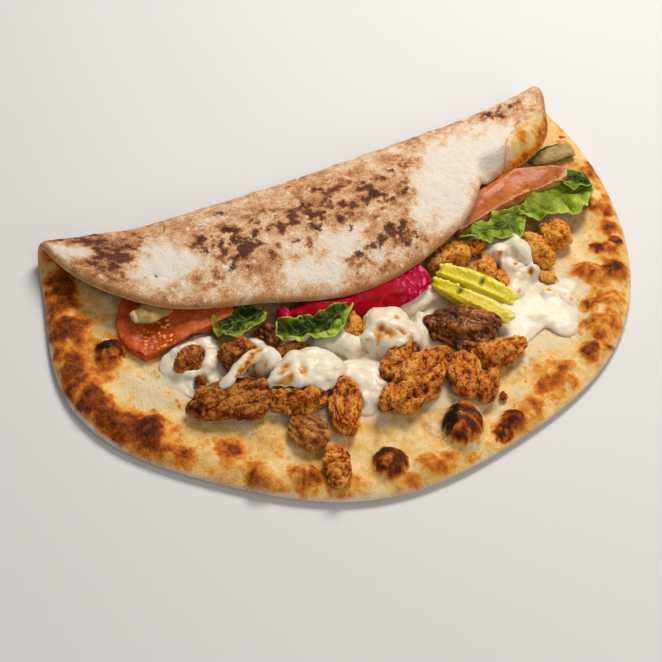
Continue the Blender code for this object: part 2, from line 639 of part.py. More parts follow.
def make_cheese(bread, placed):
    """The melted cheese: its pool and runs joined, then cut clear of the chicken."""
    colour = finish("cheese", (0.85, 0.75, 0.55), 0.35)
    runs = []
    for number, ((height, *stations), level) in enumerate(zip(CHEESE, CHEESE_FACETS)):
        points, faces = lump(stations, height, level, 0.25, number + 40)
        runs.append(add(f"run_{number}", settle(points, bread), faces, colour))
    pool = runs.pop(0)
    combine(pool, runs, "UNION")
    points = [tuple(v.co) for v in pool.data.vertices]
    faces = [tuple(p.vertices) for p in pool.data.polygons]
    bpy.data.objects.remove(pool)
    set_down("melted_cheese", points, faces, colour, bread, placed, 2500)


def tomato_slice():
    """Lower and upper grids of the flat slice, from its cut front edge back round its skin."""
    around, across = 14, 4
    turned = np.linspace(*SLICE_ARC, around)
    arc = SLICE_RADIUS * np.stack([np.cos(turned), np.sin(turned)], axis=1)
    front = arc[0] + (arc[-1] - arc[0]) * np.linspace(0, 1, around)[:, None]
    share = np.linspace(0, 1, across)[:, None, None]
    flat = (front + (arc - front) * share).reshape(-1, 2)
    x, y = flat.T
    thick = SLICE_THICK / 2 * np.repeat([0.8, 1, 1, 0.6], around)
    middle = SLICE_HEIGHT + SLICE_SLOPE * x
    left, front = np.add(DISC_MIDDLE, SLICE_MIDDLE)
    place = np.stack([left + x, front + y, middle], axis=1)
    return place - thick[:, None] * (0, 0, 1), place + thick[:, None] * (0, 0, 1), across, around


def make_vegetables(bread, placed):
    """The cut tomato, cucumber, turnip and pepper."""
    colours = {
        "tomato": finish("tomato", (0.6, 0.13, 0.05), 0.3),
        "cucumber": finish("cucumber", (0.5, 0.5, 0.2), 0.35),
        "turnip": finish("turnip", (0.55, 0.005, 0.08), 0.35),
        "pepper": finish("pepper", (0.55, 0.5, 0.03), 0.35),
    }
    low, high, across, around = tomato_slice()
    points, faces = sheet_between(settle(low, bread), settle(high, bread), across, around)
    set_down("tomato_left", points, faces, colours["tomato"], bread, placed)
    points, faces = wedge(TOMATO_WEDGE, WEDGE_SECTION, WEDGE_THICK, 4.7)
    set_down("tomato_right", settle(points, bread), faces, colours["tomato"], bread, placed, 420)
    for number, (name, colour, height, *stations) in enumerate(VEGETABLES):
        points, faces = lump(stations, height, 3 if height >= 7 else 2, 0.2, number + 72, 0.4)
        set_down(name, settle(points, bread), faces, colours[colour], bread, placed)


def make_leaves(bread, placed, bed):
    """The ruffled pieces of lettuce: thin wavy solids that lie on the chicken and cheese."""
    colour = finish("lettuce", (0.2, 0.4, 0.03), 0.5)
    along_count, across_count = 11, 5
    for number, stations in enumerate(LEAVES):
        place, width = np.meshgrid(np.linspace(-1, 1, along_count), np.linspace(-1, 1, across_count))
        x, y, half, middle, across_x, across_y = spine_at(stations, place)
        wave = np.sin(place * 9 + number * 2 + width * 1.5) * (0.35 + width**2)
        wave = wave + 0.5 * np.sin(width * 4 + place * 3)
        rounded = np.sqrt(1 - 0.6 * place**4)
        side = width * half * rounded * (1 + 0.15 * np.sin(place * 17 + number))
        grid = np.stack([x + across_x * side, y + across_y * side, middle], axis=2)
        drape(grid.reshape(-1, 3), bed)
        ease(grid[:, :, 2])
        grid[:, :, 2] += LEAF_RUFFLE * (wave - wave.min())
        low = settle(grid.reshape(-1, 3), bread).reshape(grid.shape)
        high = settle((low + LEAF_THICK * grid_normals(low)).reshape(-1, 3), bread)
        points, faces = sheet_between(low.reshape(-1, 3), high, across_count, along_count)
        set_down(f"lettuce_{number + 1}", points, faces, colour, bread, placed)


def build():
    for old in list(bpy.data.objects):
        bpy.data.objects.remove(old)
    bread = make_bread()
    placed = []
    make_heap(bread, placed)
    make_chicken(bread, placed)
    make_cheese(bread, placed)
    bed = placed[1:]
    make_vegetables(bread, placed)
    make_leaves(bread, placed, bed)


build()
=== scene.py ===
# %% [markdown]
# # A folded chicken shawarma flatbread
#
# The real thing is a round bread, baked with cheese on it, heaped with roast chicken and salad and folded
# over behind its middle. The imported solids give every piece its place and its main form. This lesson dresses
# them: it keeps their sizes, and adds the blisters, crumbs, folds and finishes that make food look like food.

# %% Load the solids
import math

import bmesh
import bpy
import numpy as np
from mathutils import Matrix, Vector, geometry
from mathutils.bvhtree import BVHTree


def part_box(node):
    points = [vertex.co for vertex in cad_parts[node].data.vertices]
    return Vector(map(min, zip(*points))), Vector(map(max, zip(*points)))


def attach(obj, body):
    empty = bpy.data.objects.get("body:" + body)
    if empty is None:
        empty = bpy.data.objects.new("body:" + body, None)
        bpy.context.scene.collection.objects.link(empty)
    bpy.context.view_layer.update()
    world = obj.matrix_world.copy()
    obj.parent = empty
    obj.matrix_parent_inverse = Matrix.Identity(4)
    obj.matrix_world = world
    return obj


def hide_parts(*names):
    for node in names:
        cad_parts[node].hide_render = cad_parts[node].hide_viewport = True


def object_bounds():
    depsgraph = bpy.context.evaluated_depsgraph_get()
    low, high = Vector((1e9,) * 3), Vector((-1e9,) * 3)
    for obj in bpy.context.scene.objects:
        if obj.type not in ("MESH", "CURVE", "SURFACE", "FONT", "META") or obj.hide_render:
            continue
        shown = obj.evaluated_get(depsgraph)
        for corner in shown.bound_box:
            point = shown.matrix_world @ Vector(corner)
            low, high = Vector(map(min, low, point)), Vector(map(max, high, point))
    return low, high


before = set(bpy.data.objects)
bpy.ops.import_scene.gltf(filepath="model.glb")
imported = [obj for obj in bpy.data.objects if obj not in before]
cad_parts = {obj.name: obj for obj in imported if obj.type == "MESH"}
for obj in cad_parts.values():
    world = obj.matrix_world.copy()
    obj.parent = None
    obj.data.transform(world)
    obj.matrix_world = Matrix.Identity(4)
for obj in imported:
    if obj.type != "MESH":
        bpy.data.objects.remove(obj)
cad_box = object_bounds()
MM = 0.001
solid_sizes = [round(side / MM) for side in cad_box[1] - cad_box[0]]
print(len(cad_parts), "solids in a box of", solid_sizes, "mm")

# %% [markdown]
# ## Noise in numbers
#
# Crumbs, creases and toasting are uneven at several sizes at once. They could be sculpted by hand, or come
# from texture modifiers, but a few lines of noise worked out for all points of a mesh at once are quick,
# give the same result on each run, and can drive the shape and the colour together.


# %% Noise helpers
def smooth(value):
    """Runs smoothly from 0 to 1 as value does."""
    value = np.clip(value, 0, 1)
    return value * value * (3 - 2 * value)


def bell(value, middle, width):
    """A soft hill: 1 where a value is at the middle, and less away from it."""
    return np.exp(-(((value - middle) / width) ** 2))


def lattice(place, seed):
    """A repeatable value from -1 to 1 for each whole-number place."""
    mixed = place.astype(np.int64).astype(np.uint32) * np.array([73856093, 19349663, 83492791], np.uint32)
    mixed = mixed.sum(axis=-1, dtype=np.uint32) + np.uint32(seed * 374761393 % 2**32)
    mixed = (mixed ^ (mixed >> 15)) * np.uint32(2246822519)
    mixed = (mixed ^ (mixed >> 13)) * np.uint32(3266489917)
    return (mixed ^ (mixed >> 16)).astype(float) / 2**31 - 1


def grain(points, size, seed=0):
    """Smooth noise from -1 to 1 at points, with bumps about a size in mm apart."""
    cell = points / (size * MM)
    low = np.floor(cell)
    part = cell - low
    part = part * part * (3 - 2 * part)
    total = np.zeros(len(points))
    for corner in np.ndindex(2, 2, 2):
        weight = np.prod(np.where(corner, part, 1 - part), axis=1)
        total += weight * lattice(low + corner, seed)
    return total


def layers(points, size, seed=0, octaves=3, gain=0.5):
    """Noise with finer and weaker noise added to it."""
    total = np.zeros(len(points))
    for octave in range(octaves):
        total += gain**octave * grain(points, size / 2**octave, seed + octave)
    return total


def cells(points, size, seed=0):
    """Distance to the nearest of middles scattered about a size in mm apart, from 0 to about 1."""
    cell = points / (size * MM)
    low = np.floor(cell).astype(np.int64)
    nearest = np.full(len(points), 9.0)
    for offset in np.ndindex(3, 3, 3):
        corner = low + offset - 1
        jitter = np.stack([lattice(corner, seed + axis) for axis in range(3)], axis=1)
        nearest = np.minimum(nearest, np.linalg.norm(cell - corner - 0.5 - 0.45 * jitter, axis=1))
    return nearest


def flow(x, y, z=0):
    """Points from coordinates given apart, for noise on a flat place."""
    x, y = np.ravel(x), np.ravel(y)
    return np.stack([x, y, x * 0 + z], axis=1)


print("noise helpers ready")

# %% [markdown]
# ## Meshes
#
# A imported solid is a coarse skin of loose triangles. A finer skin can come from subdivision, which keeps the
# long thin triangles that cuts leave, or from a voxel remesh, which lays an even grid over any closed shape.
# The remesh is used here, and its points are then moved along their normals.


# %% Mesh helpers
def new_piece(name, points, faces):
    """A named object from points in metres and faces."""
    mesh = bpy.data.meshes.new(name)
    mesh.from_pydata(np.asarray(points).tolist(), [], faces)
    mesh.update()
    made = bpy.data.objects.new(name, mesh)
    bpy.context.scene.collection.objects.link(made)
    return made


def points_of(made, attribute="co"):
    """An object's points, or their normals, as an array."""
    values = np.zeros(len(made.data.vertices) * 3)
    made.data.vertices.foreach_get(attribute, values)
    return values.reshape(-1, 3)


def put_points(made, points):
    """Moves an object's points, never past the box of the solids."""
    kept = np.clip(points, np.array(cad_box[0]), np.array(cad_box[1]))
    made.data.vertices.foreach_set("co", kept.ravel())
    made.data.update()


def push(made, lift):
    """Moves an object's points out along their normals, each by its own lift in mm."""
    put_points(made, points_of(made) + points_of(made, "normal") * (lift * MM)[:, None])


def mark(made, **values):
    """Stores a number, or three, for each point of an object, for its material to read."""
    for name, value in values.items():
        value = np.asarray(value, float)
        kind = "FLOAT_VECTOR" if value.ndim == 2 else "FLOAT"
        layer = made.data.attributes.new(name, kind, "POINT")
        layer.data.foreach_set("vector" if value.ndim == 2 else "value", value.ravel())


def applied(made):
    """Turns an object's modifiers into plain mesh."""
    graph = bpy.context.evaluated_depsgraph_get()
    mesh = bpy.data.meshes.new_from_object(made.evaluated_get(graph))
    made.modifiers.clear()
    made.data = mesh
    return made


def copy_of(node, name):
    """A copy of a solid, with its loose triangles joined."""
    made = new_piece(name, [], [])
    made.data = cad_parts[node].data.copy()
    made.data.name = name
    made.data.materials.clear()
    work = bmesh.new()
    work.from_mesh(made.data)
    bmesh.ops.remove_doubles(work, verts=work.verts, dist=1e-6)
    work.to_mesh(made.data)
    work.free()
    return made


def fine_skin(node, name, voxel, soften):
    """An even skin over a solid, softened by a number of rounds."""
    made = copy_of(node, name)
    remesh = made.modifiers.new("skin", "REMESH")
    remesh.mode = "VOXEL"
    remesh.voxel_size = voxel
    ease = made.modifiers.new("soften", "SMOOTH")
    ease.factor = 0.5
    ease.iterations = soften
    return applied(made)


def tree_of(made):
    """A tree for casting rays at an object."""
    corners = [v.co for v in made.data.vertices]
    return BVHTree.FromPolygons(corners, [p.vertices for p in made.data.polygons])


def height_over(tree, points, start=60 * MM, fallback=0.0):
    """Height of the surface under each point, looking down from a start height."""
    found = []
    for x, y in points[:, :2].tolist():
        hit = tree.ray_cast(Vector((x, y, start)), Vector((0, 0, -1)))[0]
        found.append(hit.z if hit else fallback)
    return np.array(found)


def serve(made, finish, slot, *nodes):
    """Gives a piece its finish and its body, and hides the solids that it stands for."""
    made.data.materials.clear()
    made.data.materials.append(finish)
    made.data.shade_smooth()
    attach(made, "root")
    if nodes:
        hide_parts(*nodes)
    print(made.name, len(made.data.polygons), "faces")


print("mesh helpers ready")

# %% [markdown]
# ## Finishes as sums
#
# A material is a tree of nodes, and most of what it does is arithmetic on masks. The nodes could be linked
# one by one. Here a small class wraps a socket and turns Python's own signs into Math nodes, so that a mask
# reads as a sum. Colours go through Mix nodes. The same class builds a tree of Geometry Nodes later on.


# %% A wire of a node tree
class Wire:
    """One output socket of a node tree, with arithmetic."""

    def __init__(self, tree, socket=None):
        self.tree, self.socket = tree, socket

    def node(self, kind, settings=None, sockets=None, output=0):
        """Adds a node: its settings first, then the values or wires of its sockets."""
        made = self.tree.nodes.new(kind)
        for name, value in (settings or {}).items():
            if name == "stops":
                ramp = made.color_ramp
                while len(ramp.elements) < len(value):
                    ramp.elements.new(0.5)
                for element, (place, colour) in zip(ramp.elements, value):
                    element.position, element.color = place, (*colour, 1)
            else:
                setattr(made, name, value)
        for key, value in (sockets or {}).items():
            if isinstance(value, Wire):
                self.tree.links.new(value.socket, made.inputs[key])
            else:
                made.inputs[key].default_value = value
        return Wire(self.tree, made.outputs[output])

    def beside(self, output):
        """Another output of the same node."""
        return Wire(self.tree, self.socket.node.outputs[output])

    def maths(self, operation, first, second):
        """A sum, difference or product."""
        return self.node("ShaderNodeMath", {"operation": operation}, {0: first, 1: second})

    def __add__(self, other):
        return self.maths("ADD", self, other)

    def __sub__(self, other):
        return self.maths("SUBTRACT", self, other)

    def __rsub__(self, other):
        return self.maths("SUBTRACT", other, self)

    def __mul__(self, other):
        return self.maths("MULTIPLY", self, other)

    def rise(self, low, high):
        """Goes smoothly from 0 to 1 as this goes from low to high."""
        sockets = {"Value": self, "From Min": low, "From Max": high}
        return self.node("ShaderNodeMapRange", {"interpolation_type": "SMOOTHSTEP"}, sockets)

    def ramp(self, *stops):
        """A colour that follows this along stops of place and colour."""
        return self.node("ShaderNodeValToRGB", {"stops": stops}, {"Fac": self})

    def blend(self, first, second):
        """A colour between two, by this as a mask."""
        first, second = ((*c, 1) if isinstance(c, tuple) else c for c in (first, second))
        return self.node("ShaderNodeMix", {"data_type": "RGBA"}, {"Factor": self, 6: first, 7: second}, 2)

    def attribute(self, name):
        """A mark of the mesh's points."""
        return self.node("ShaderNodeAttribute", {"attribute_name": name}, output="Fac")

    def noise(self, size, detail=2.0, roughness=0.5):
        """Noise at this place, from 0 to 1, with bumps about a size in mm apart."""
        sockets = {"Vector": self, "Scale": 1 / (size * MM), "Detail": detail, "Roughness": roughness}
        return self.node("ShaderNodeTexNoise", None, sockets)

    def cells(self, size):
        """Distance from scattered middles at this place, about a size in mm apart."""
        return self.node("ShaderNodeTexVoronoi", None, {"Vector": self, "Scale": 1 / (size * MM)})


def new_finish(name, roughness, coat=0.0, glow=0.0, glow_radius=(1.0, 0.4, 0.2), shine=0.4):
    """A material, a wire to start its tree from and the place on the surface. Glow is light inside food."""
    made = bpy.data.materials.new(name)
    made.use_nodes = True
    settings = {
        "Roughness": roughness, "Specular IOR Level": shine, "Coat Weight": coat, "Coat Roughness": 0.12,
        "Subsurface Weight": glow, "Subsurface Scale": 3 * MM, "Subsurface Radius": glow_radius,
    }
    for key, value in settings.items():
        made.node_tree.nodes["Principled BSDF"].inputs[key].default_value = value
    start = Wire(made.node_tree)
    return made, start, start.node("ShaderNodeTexCoord", output="Object")


def fill(finish, height, depth, **sockets):
    """Links wires to the shader's sockets, and a height of a certain depth to its bump."""
    shader = finish.node_tree.nodes["Principled BSDF"]
    for name, wire in sockets.items():
        finish.node_tree.links.new(wire.socket, shader.inputs[name.replace("_", " ")])
    bump = height.node("ShaderNodeBump", None, {"Height": height, "Distance": depth})
    finish.node_tree.links.new(bump.socket, shader.inputs["Normal"])


print("finish helpers ready")

# %% [markdown]
# ## Camera, light and floor
#
# The photograph looks down at about fifty degrees from the front left, through a long lens. Its light comes
# from the back right, so that the flap glows and the near left side lies in shade. One soft light stands
# there, a weaker and wider one in front lifts the shade, and a pale floor carries the food.

# %% Camera
VIEW_AZIMUTH = math.radians(-22.16)
VIEW_ELEVATION = math.radians(50)
VIEW_DISTANCE = 0.6105
VIEW_TARGET = Vector((-0.0210, -0.0023, 0))

camera = bpy.data.objects.new("camera", bpy.data.cameras.new("camera"))
camera.data.lens = 70
camera.data.sensor_width = 36
back = Vector((
    math.sin(VIEW_AZIMUTH) * math.cos(VIEW_ELEVATION),
    -math.cos(VIEW_AZIMUTH) * math.cos(VIEW_ELEVATION),
    math.sin(VIEW_ELEVATION),
))
camera.location = VIEW_TARGET + back * VIEW_DISTANCE
camera.rotation_mode = "QUATERNION"
camera.rotation_quaternion = (-back).to_track_quat("-Z", "Y")
bpy.context.scene.collection.objects.link(camera)
bpy.context.scene.camera = camera
bpy.context.scene.view_settings.view_transform = "Standard"
print("camera at", [round(value, 3) for value in camera.location])


# %% Lights and floor
def area_light(name, place, size, power, colour):
    """A square light that faces the food."""
    lamp = bpy.data.lights.new(name, "AREA")
    lamp.size = size
    lamp.energy = power
    lamp.color = colour
    made = bpy.data.objects.new(name, lamp)
    made.location = place
    made.rotation_euler = (Vector((0, 0, 0.01)) - Vector(place)).to_track_quat("-Z", "Y").to_euler()
    bpy.context.scene.collection.objects.link(made)


area_light("key", (0.42, 0.42, 0.84), 0.42, 11.0, (1.0, 0.97, 0.93))
area_light("front fill", (0.15, -0.9, 0.8), 0.9, 5.5, (1.0, 0.97, 0.94))
world = bpy.data.worlds.new("room")
world.use_nodes = True
world.node_tree.nodes["Background"].inputs["Color"].default_value = (0.95, 0.97, 1.0, 1)
world.node_tree.nodes["Background"].inputs["Strength"].default_value = 0.2
bpy.context.scene.world = world

FLOOR_REACH = 3.0
corners = [(x * FLOOR_REACH, y * FLOOR_REACH, 0) for x, y in ((-1, -1), (1, -1), (1, 1), (-1, 1))]
floor = new_piece("floor", corners, [(0, 1, 2, 3)])
floor_finish = new_finish("pale floor", 0.8)[0]
floor_finish.node_tree.nodes["Principled BSDF"].inputs["Base Color"].default_value = (0.62, 0.61, 0.6, 1)
floor.data.materials.append(floor_finish)
print("two lights and a floor")

# %% [markdown]
# ## The bread
#
# The dough is a wavy disc, about 4 mm thick with a puffed rim, rolled up and over at the back. It is laid out
# flat first and then bent, because everything that baking does to it, such as blisters and toasting, belongs
# to the flat dough. The same sizes that shape the solid shape this finer sheet.

# %% The dough's sizes
DISC_MIDDLE = (-3.0 * MM, 47.2 * MM)
DISC_RADIUS = 146.5 * MM
OUTLINE_WAVES = (
    (1, 2.9 * MM, -4.3 * MM),
    (2, 4.6 * MM, 3.1 * MM),
    (3, 0.2 * MM, 2.2 * MM),
    (4, -2.1 * MM, 0.2 * MM),
    (5, 0.7 * MM, -0.1 * MM),
    (6, -2.0 * MM, 1.9 * MM),
    (7, 0.6 * MM, -1.1 * MM),
)
CORNERS = (  # angle, half width and reach of each place pulled out or set back
    (math.radians(144), math.radians(8), 2.8 * MM),
    (math.radians(37), math.radians(8), 12.0 * MM),
    (math.radians(51), math.radians(8), -12.0 * MM),
)
SHEET = 4.4 * MM
RIM_RISE = 2.6 * MM
RIM_FROM_EDGE = 9.0 * MM
RIM_WIDTH = 7.0 * MM
EDGE_ROUND = 5.0 * MM
EDGE_HEIGHT = 3.0 * MM
FOLD_STATIONS = (-131, -93, -38, 42, 120, 142)
FOLD_BEHIND = (38.5, 27, 24, 27, 35, 40.5)
ROLL_STATIONS = (-131, -75, 0, 142)
ROLL_RADII = (9.0, 11.0, 12.5, 14.0)
FLAP_RISE = math.radians(9)
FLAP_DROOP = math.radians(20)
FLAP_LENGTH = 80 * MM
LIP_DROP = 10 * MM
LIP_DEPTH = 12 * MM
LIP_STARTS = 76 * MM
FOLD_STEPS = 32
BLISTERS = (  # x, y, half width, half length and rise, in mm
    (13.4, -126.8, 9.5, 12.4, 12),
    (-24.2, -132.4, 8.2, 9, 6.4),
    (-119.5, -28.6, 7, 8, 6),
    (-113.8, -76.1, 8, 8, 3.6),
    (-78.4, -119.9, 6.5, 6.5, 3.6),
    (-60.7, -124.9, 6.2, 6.2, 3.6),
    (34.8, -132, 5.2, 5.2, 2.8),
    (122.2, -72.2, 8, 8, 3.6),
    (110.8, -65.1, 7, 7, 3),
)
BLISTER_TURN = math.radians(22)
SMALL_BLISTERS = (  # x, y, radius and rise, in mm
    (-65, -102, 8, 2.2), (-103, -93, 7, 1.6), (-93, -97, 6, 1.4), (-136, -50, 6, 1.5), (-133, -62, 7, 1.6),
    (-124, -72, 6, 1.4), (-100, -84, 7, 1.6), (-86, -101, 6, 1.5), (133, -54, 3.6, 1.4), (122, -54, 3.4, 1.4),
    (111, -90, 5, 1.5), (84, -112, 5, 1.4), (62, -115, 6, 1.5), (28, -137, 4.6, 2.0), (139, -32, 5, 1.3),
    (-140, -4, 7, 1.6), (-137, -36, 6, 1.5), (-8, -142, 5, 0.6), (-45, -137, 5, 0.6), (-100, -65, 4, 1.4),
    (-102, -48, 3, 1.2), (-86, -57, 4, 1.4), (99, -96, 6, 1.2), (106, -104, 6, 1.1), (47, -125, 6, 1.2),
    (-115, -92, 6, 1.2), (-33, -110, 6, 1.2), (10, -108, 7, 1.2), (75, -104, 8, 1.0),
)


# %% Bending the dough
def outline_radius(angle):
    """Radius of the flat disc towards an angle about its middle."""
    radius = DISC_RADIUS + 0 * angle
    for waves, cosine, sine in OUTLINE_WAVES:
        radius = radius + cosine * np.cos(waves * angle) + sine * np.sin(waves * angle)
    for middle, width, reach in CORNERS:
        radius = radius + reach * bell(angle, middle, width)
    return radius


def from_edge(x, y):
    """Distance in from the disc's outline, along a radius."""
    return outline_radius(np.arctan2(y, x)) - np.hypot(x, y)


def along(x, stations, values):
    """A value in millimetres, given at stations along the fold, eased between them."""
    knots = np.array(stations, float) * MM
    marks = np.array(values, float) * MM
    slopes = np.gradient(marks, knots)
    cell = np.clip(np.searchsorted(knots, x) - 1, 0, len(knots) - 2)
    width = knots[cell + 1] - knots[cell]
    part = np.clip((x - knots[cell]) / width, 0, 1)
    start = (1 + 2 * part) * (1 - part) ** 2
    end = part * part * (3 - 2 * part)
    bends = part * (1 - part) ** 2 * slopes[cell] - part * part * (1 - part) * slopes[cell + 1]
    return start * marks[cell] + end * marks[cell + 1] + bends * width


def fold(x, y, height):
    """Bends flat disc points, at a height above the dough's underside, up and over the fold."""
    crease = along(x, FOLD_STATIONS, FOLD_BEHIND)
    roll = along(x, ROLL_STATIONS, ROLL_RADII)
    past = np.maximum(y - crease, 0)
    turn_end = math.pi - FLAP_RISE
    turned = np.minimum(past / roll, turn_end)
    rear = roll * np.sin(turned)
    up = roll * (1 - np.cos(turned))
    beyond = np.maximum(past - roll * turn_end, 0)
    angle = turned
    for step in range(FOLD_STEPS):
        share = beyond * (step + 0.5) / FOLD_STEPS / FLAP_LENGTH
        angle = np.where(beyond > 0, turn_end + (FLAP_RISE + FLAP_DROOP) * smooth(share), turned)
        rear = rear + np.cos(angle) * beyond / FOLD_STEPS
        up = up + np.sin(angle) * beyond / FOLD_STEPS
    rear = rear - np.sin(angle) * height
    up = up + np.cos(angle) * height
    lip = smooth(1 - from_edge(x, y) / LIP_DEPTH) * smooth(beyond / LIP_DEPTH)
    up = up - LIP_DROP * lip * smooth((x - LIP_STARTS) / LIP_DEPTH)
    return np.stack([DISC_MIDDLE[0] + x, DISC_MIDDLE[1] + np.minimum(y, crease) + rear, up], axis=-1)


def domes(x, y, table):
    """Heights of rounded blisters at flat places: oval ones have five numbers, round ones four."""
    height = np.zeros(len(x))
    for row in table:
        oval = len(row) == 5
        full_row = row if oval else (*row[:3], *row[2:])
        middle_x, middle_y, half_width, half_length, rise = np.array(full_row) * MM
        across = (x - middle_x) * math.cos(BLISTER_TURN) - (y - middle_y) * math.sin(BLISTER_TURN)
        length = (x - middle_x) * math.sin(BLISTER_TURN) + (y - middle_y) * math.cos(BLISTER_TURN)
        share = (across / half_width) ** 2 + (length / half_length) ** 2
        height = np.maximum(height, rise * np.maximum(1 - share, 0) ** (0.6 if oval else 0.8))
    return height


print("fold runs at", FOLD_BEHIND, "mm behind the disc's middle")

# %% [markdown]
# ## Where the dough is toasted
#
# An oven marks a bread where it stands highest: the rim and the blisters turn orange, brown and at last
# black. The outside, which lay on a floured stone, is white where flour stayed and brown and speckled where
# the stone touched. Both are given as spots on the flat dough, and pushed about by noise so none is round.

# %% Spots on the dough: x, y and radius in mm, and strength
TOASTED = (
    (-133, 23, 8, 0.9), (-131, 16, 7, 0.7), (-139, 5, 7, 1), (-140, -4, 7, 0.8), (-143, -8, 5, 1.2),
    (-141, -18, 6, 0.5), (-138, -31, 7, 0.9), (-136, -36, 7, 1.1), (-135, -45, 8, 1.1), (-134, -56, 8, 1),
    (-130, -67, 7, 1.1), (-126, -75, 7, 1), (-120, -69, 6, 1.1), (-116, -79, 8, 1.1), (-110, -75, 6, 0.8),
    (-109, -82, 7, 0.8), (-123, -35, 6, 0.9), (-120, -24, 7, 1.2), (-102, -48, 3, 1), (-100, -65, 3.5, 0.9),
    (-86, -57, 4, 0.9), (-125, -8, 7, 1.1), (-134, -64, 6, 0.8), (-105, -93, 7, 0.8),
    (-93, -95, 7, 0.45), (-87, -98, 7, 0.5), (65, -121, 6, 0.8), (45, -138, 6, 0.7),
    (146, -2, 5, 0.8), (144, -19, 6, 0.9), (141, -31, 6, 1), (134, -32, 5, 0.9), (137, -44, 6, 0.9),
    (132, -57, 5, 0.8), (127, -46, 6, 0.6), (141, -9, 6, 0.7), (-131, -2, 7, 1), (-137, 14, 6, 0.8),
    (-86, -103, 6, 0.7), (-79, -109, 6, 0.6), (-79, -120, 6, 1), (-60, -126, 5, 1.1), (-64, -128, 5, 0.8),
    (-69, -93, 4.5, 0.75), (-65, -102, 8, 0.4),
    (-33, -110, 6, 0.55), (-29, -117, 7, 0.5), (-73, -127, 5, 0.8), (-49, -139, 5, 0.8),
    (-18, -144, 6, 0.8), (-8, -144, 6, 0.8), (-41, -140, 5, 0.7), (-58, -135, 4, 0.8), (139, -32, 6, 0.9),
    (133, -54, 3.5, 1.3), (122, -54, 3.5, 1.3), (121, -74, 5.5, 1.5), (111, -68, 6, 1.2),
    (107, -65, 5, 0.8), (111, -90, 5, 1), (100, -85, 5, 0.8), (96, -76, 3, 0.7), (99, -92, 6, 0.8),
    (100, -98, 6, 0.9), (94, -97, 6, 0.9), (104, -103, 6, 0.7), (84, -112, 5, 1), (88, -115, 5, 0.9),
    (97, -113, 3, 1.2), (69, -109, 6, 0.7), (62, -115, 5.5, 0.95), (47, -125, 6, 0.7), (39, -132, 5, 0.7),
    (35, -134, 4.5, 1.2), (28, -137, 4.5, 1.2), (21, -141, 5, 0.7), (63, -128, 4, 0.7), (100, -63, 5, 0.4),
    (125, -58, 7, 0.7), (149, 0, 4, 1.2), (150, -10, 5, 0.9), (140, -33, 4, 1.1), (138, -25, 6, 0.8),
    (127, -30, 6, 0.4), (112, -76, 8, 0.6), (106, -85, 7, 0.6), (94, -107, 7, 0.6), (55, -120, 5, 0.6),
)
CHARRED = (
    (-121.5, -25.0, 4.6, 1.0),
    (-119.5, -24, 6, 1), (-26.5, -129, 4.5, 0.9), (8.5, -123, 5.5, 1), (6, -129, 4, 0.8), (-59, -123, 3, 0.7),
    (121, -73, 3.5, 0.8), (112, -66, 3.5, 0.6), (122, -54, 2, 0.8), (133, -54, 2, 0.7), (-143, -8, 3, 0.9),
    (-116, -78, 4, 0.6), (-120, -68, 2.5, 0.7), (-136, -36, 4, 0.5), (-139, 5, 4, 0.5),
    (35, -133, 2.6, 0.6), (28, -137, 2.6, 0.6), (149, 0, 2.5, 0.8), (-130, -67, 3, 0.5),
    (98, -112, 1.6, 0.8), (139, -31, 2.4, 0.4), (85, -111, 2.2, 0.4),
)
FLOURED = (
    (-119, 71, 8, 1), (-124, 68, 7, 1), (-88, 82, 10, 1), (-84, 89, 9, 1), (-73, 85, 8, 0.8),
    (-21, 110, 9, 0.8), (-14, 121, 8, 0.9), (-29, 117, 7, 0.7), (4, 109, 9, 0.8), (-3, 113, 7, 0.7),
    (71, 96, 15, 1), (57, 107, 13, 1), (91, 92, 14, 1), (68, 83, 10, 0.9), (62, 119, 12, 1),
    (105, 91, 9, 0.8), (95, 102, 8, 0.9), (44, 116, 8, 0.7), (-51, 115, 6, 0.5), (-54, 67, 6, 0.5),
    (51, 69, 5, 0.4), (143, 63, 5, 0.8),
)
BROWNED = (
    (-112, 66, 13, 0.95), (-98, 70, 12, 0.7), (-120, 60, 8, 0.7),
    (-105, 74, 12, 0.8), (-101, 80, 9, 0.7), (-108, 68, 7, 0.7), (-61, 82, 11, 0.55), (-49, 84, 12, 0.6),
    (-39, 90, 12, 0.6), (-67, 97, 9, 0.5), (-24, 86, 13, 0.6), (-7, 84, 13, 0.6), (-2, 98, 12, 0.6),
    (20, 85, 12, 0.6), (35, 90, 13, 0.6), (20, 116, 12, 0.6), (30, 118, 10, 0.6), (7, 121, 11, 0.6),
    (-5, 123, 8, 0.4), (6, 79, 10, 0.5), (-19, 99, 9, 0.5), (102, 73, 9, 0.8), (115, 77, 8, 0.8),
    (42, 133, 7, 0.5), (50, 83, 8, 0.5), (-52, 98, 8, 0.5), (10, 94, 10, 0.5),
)
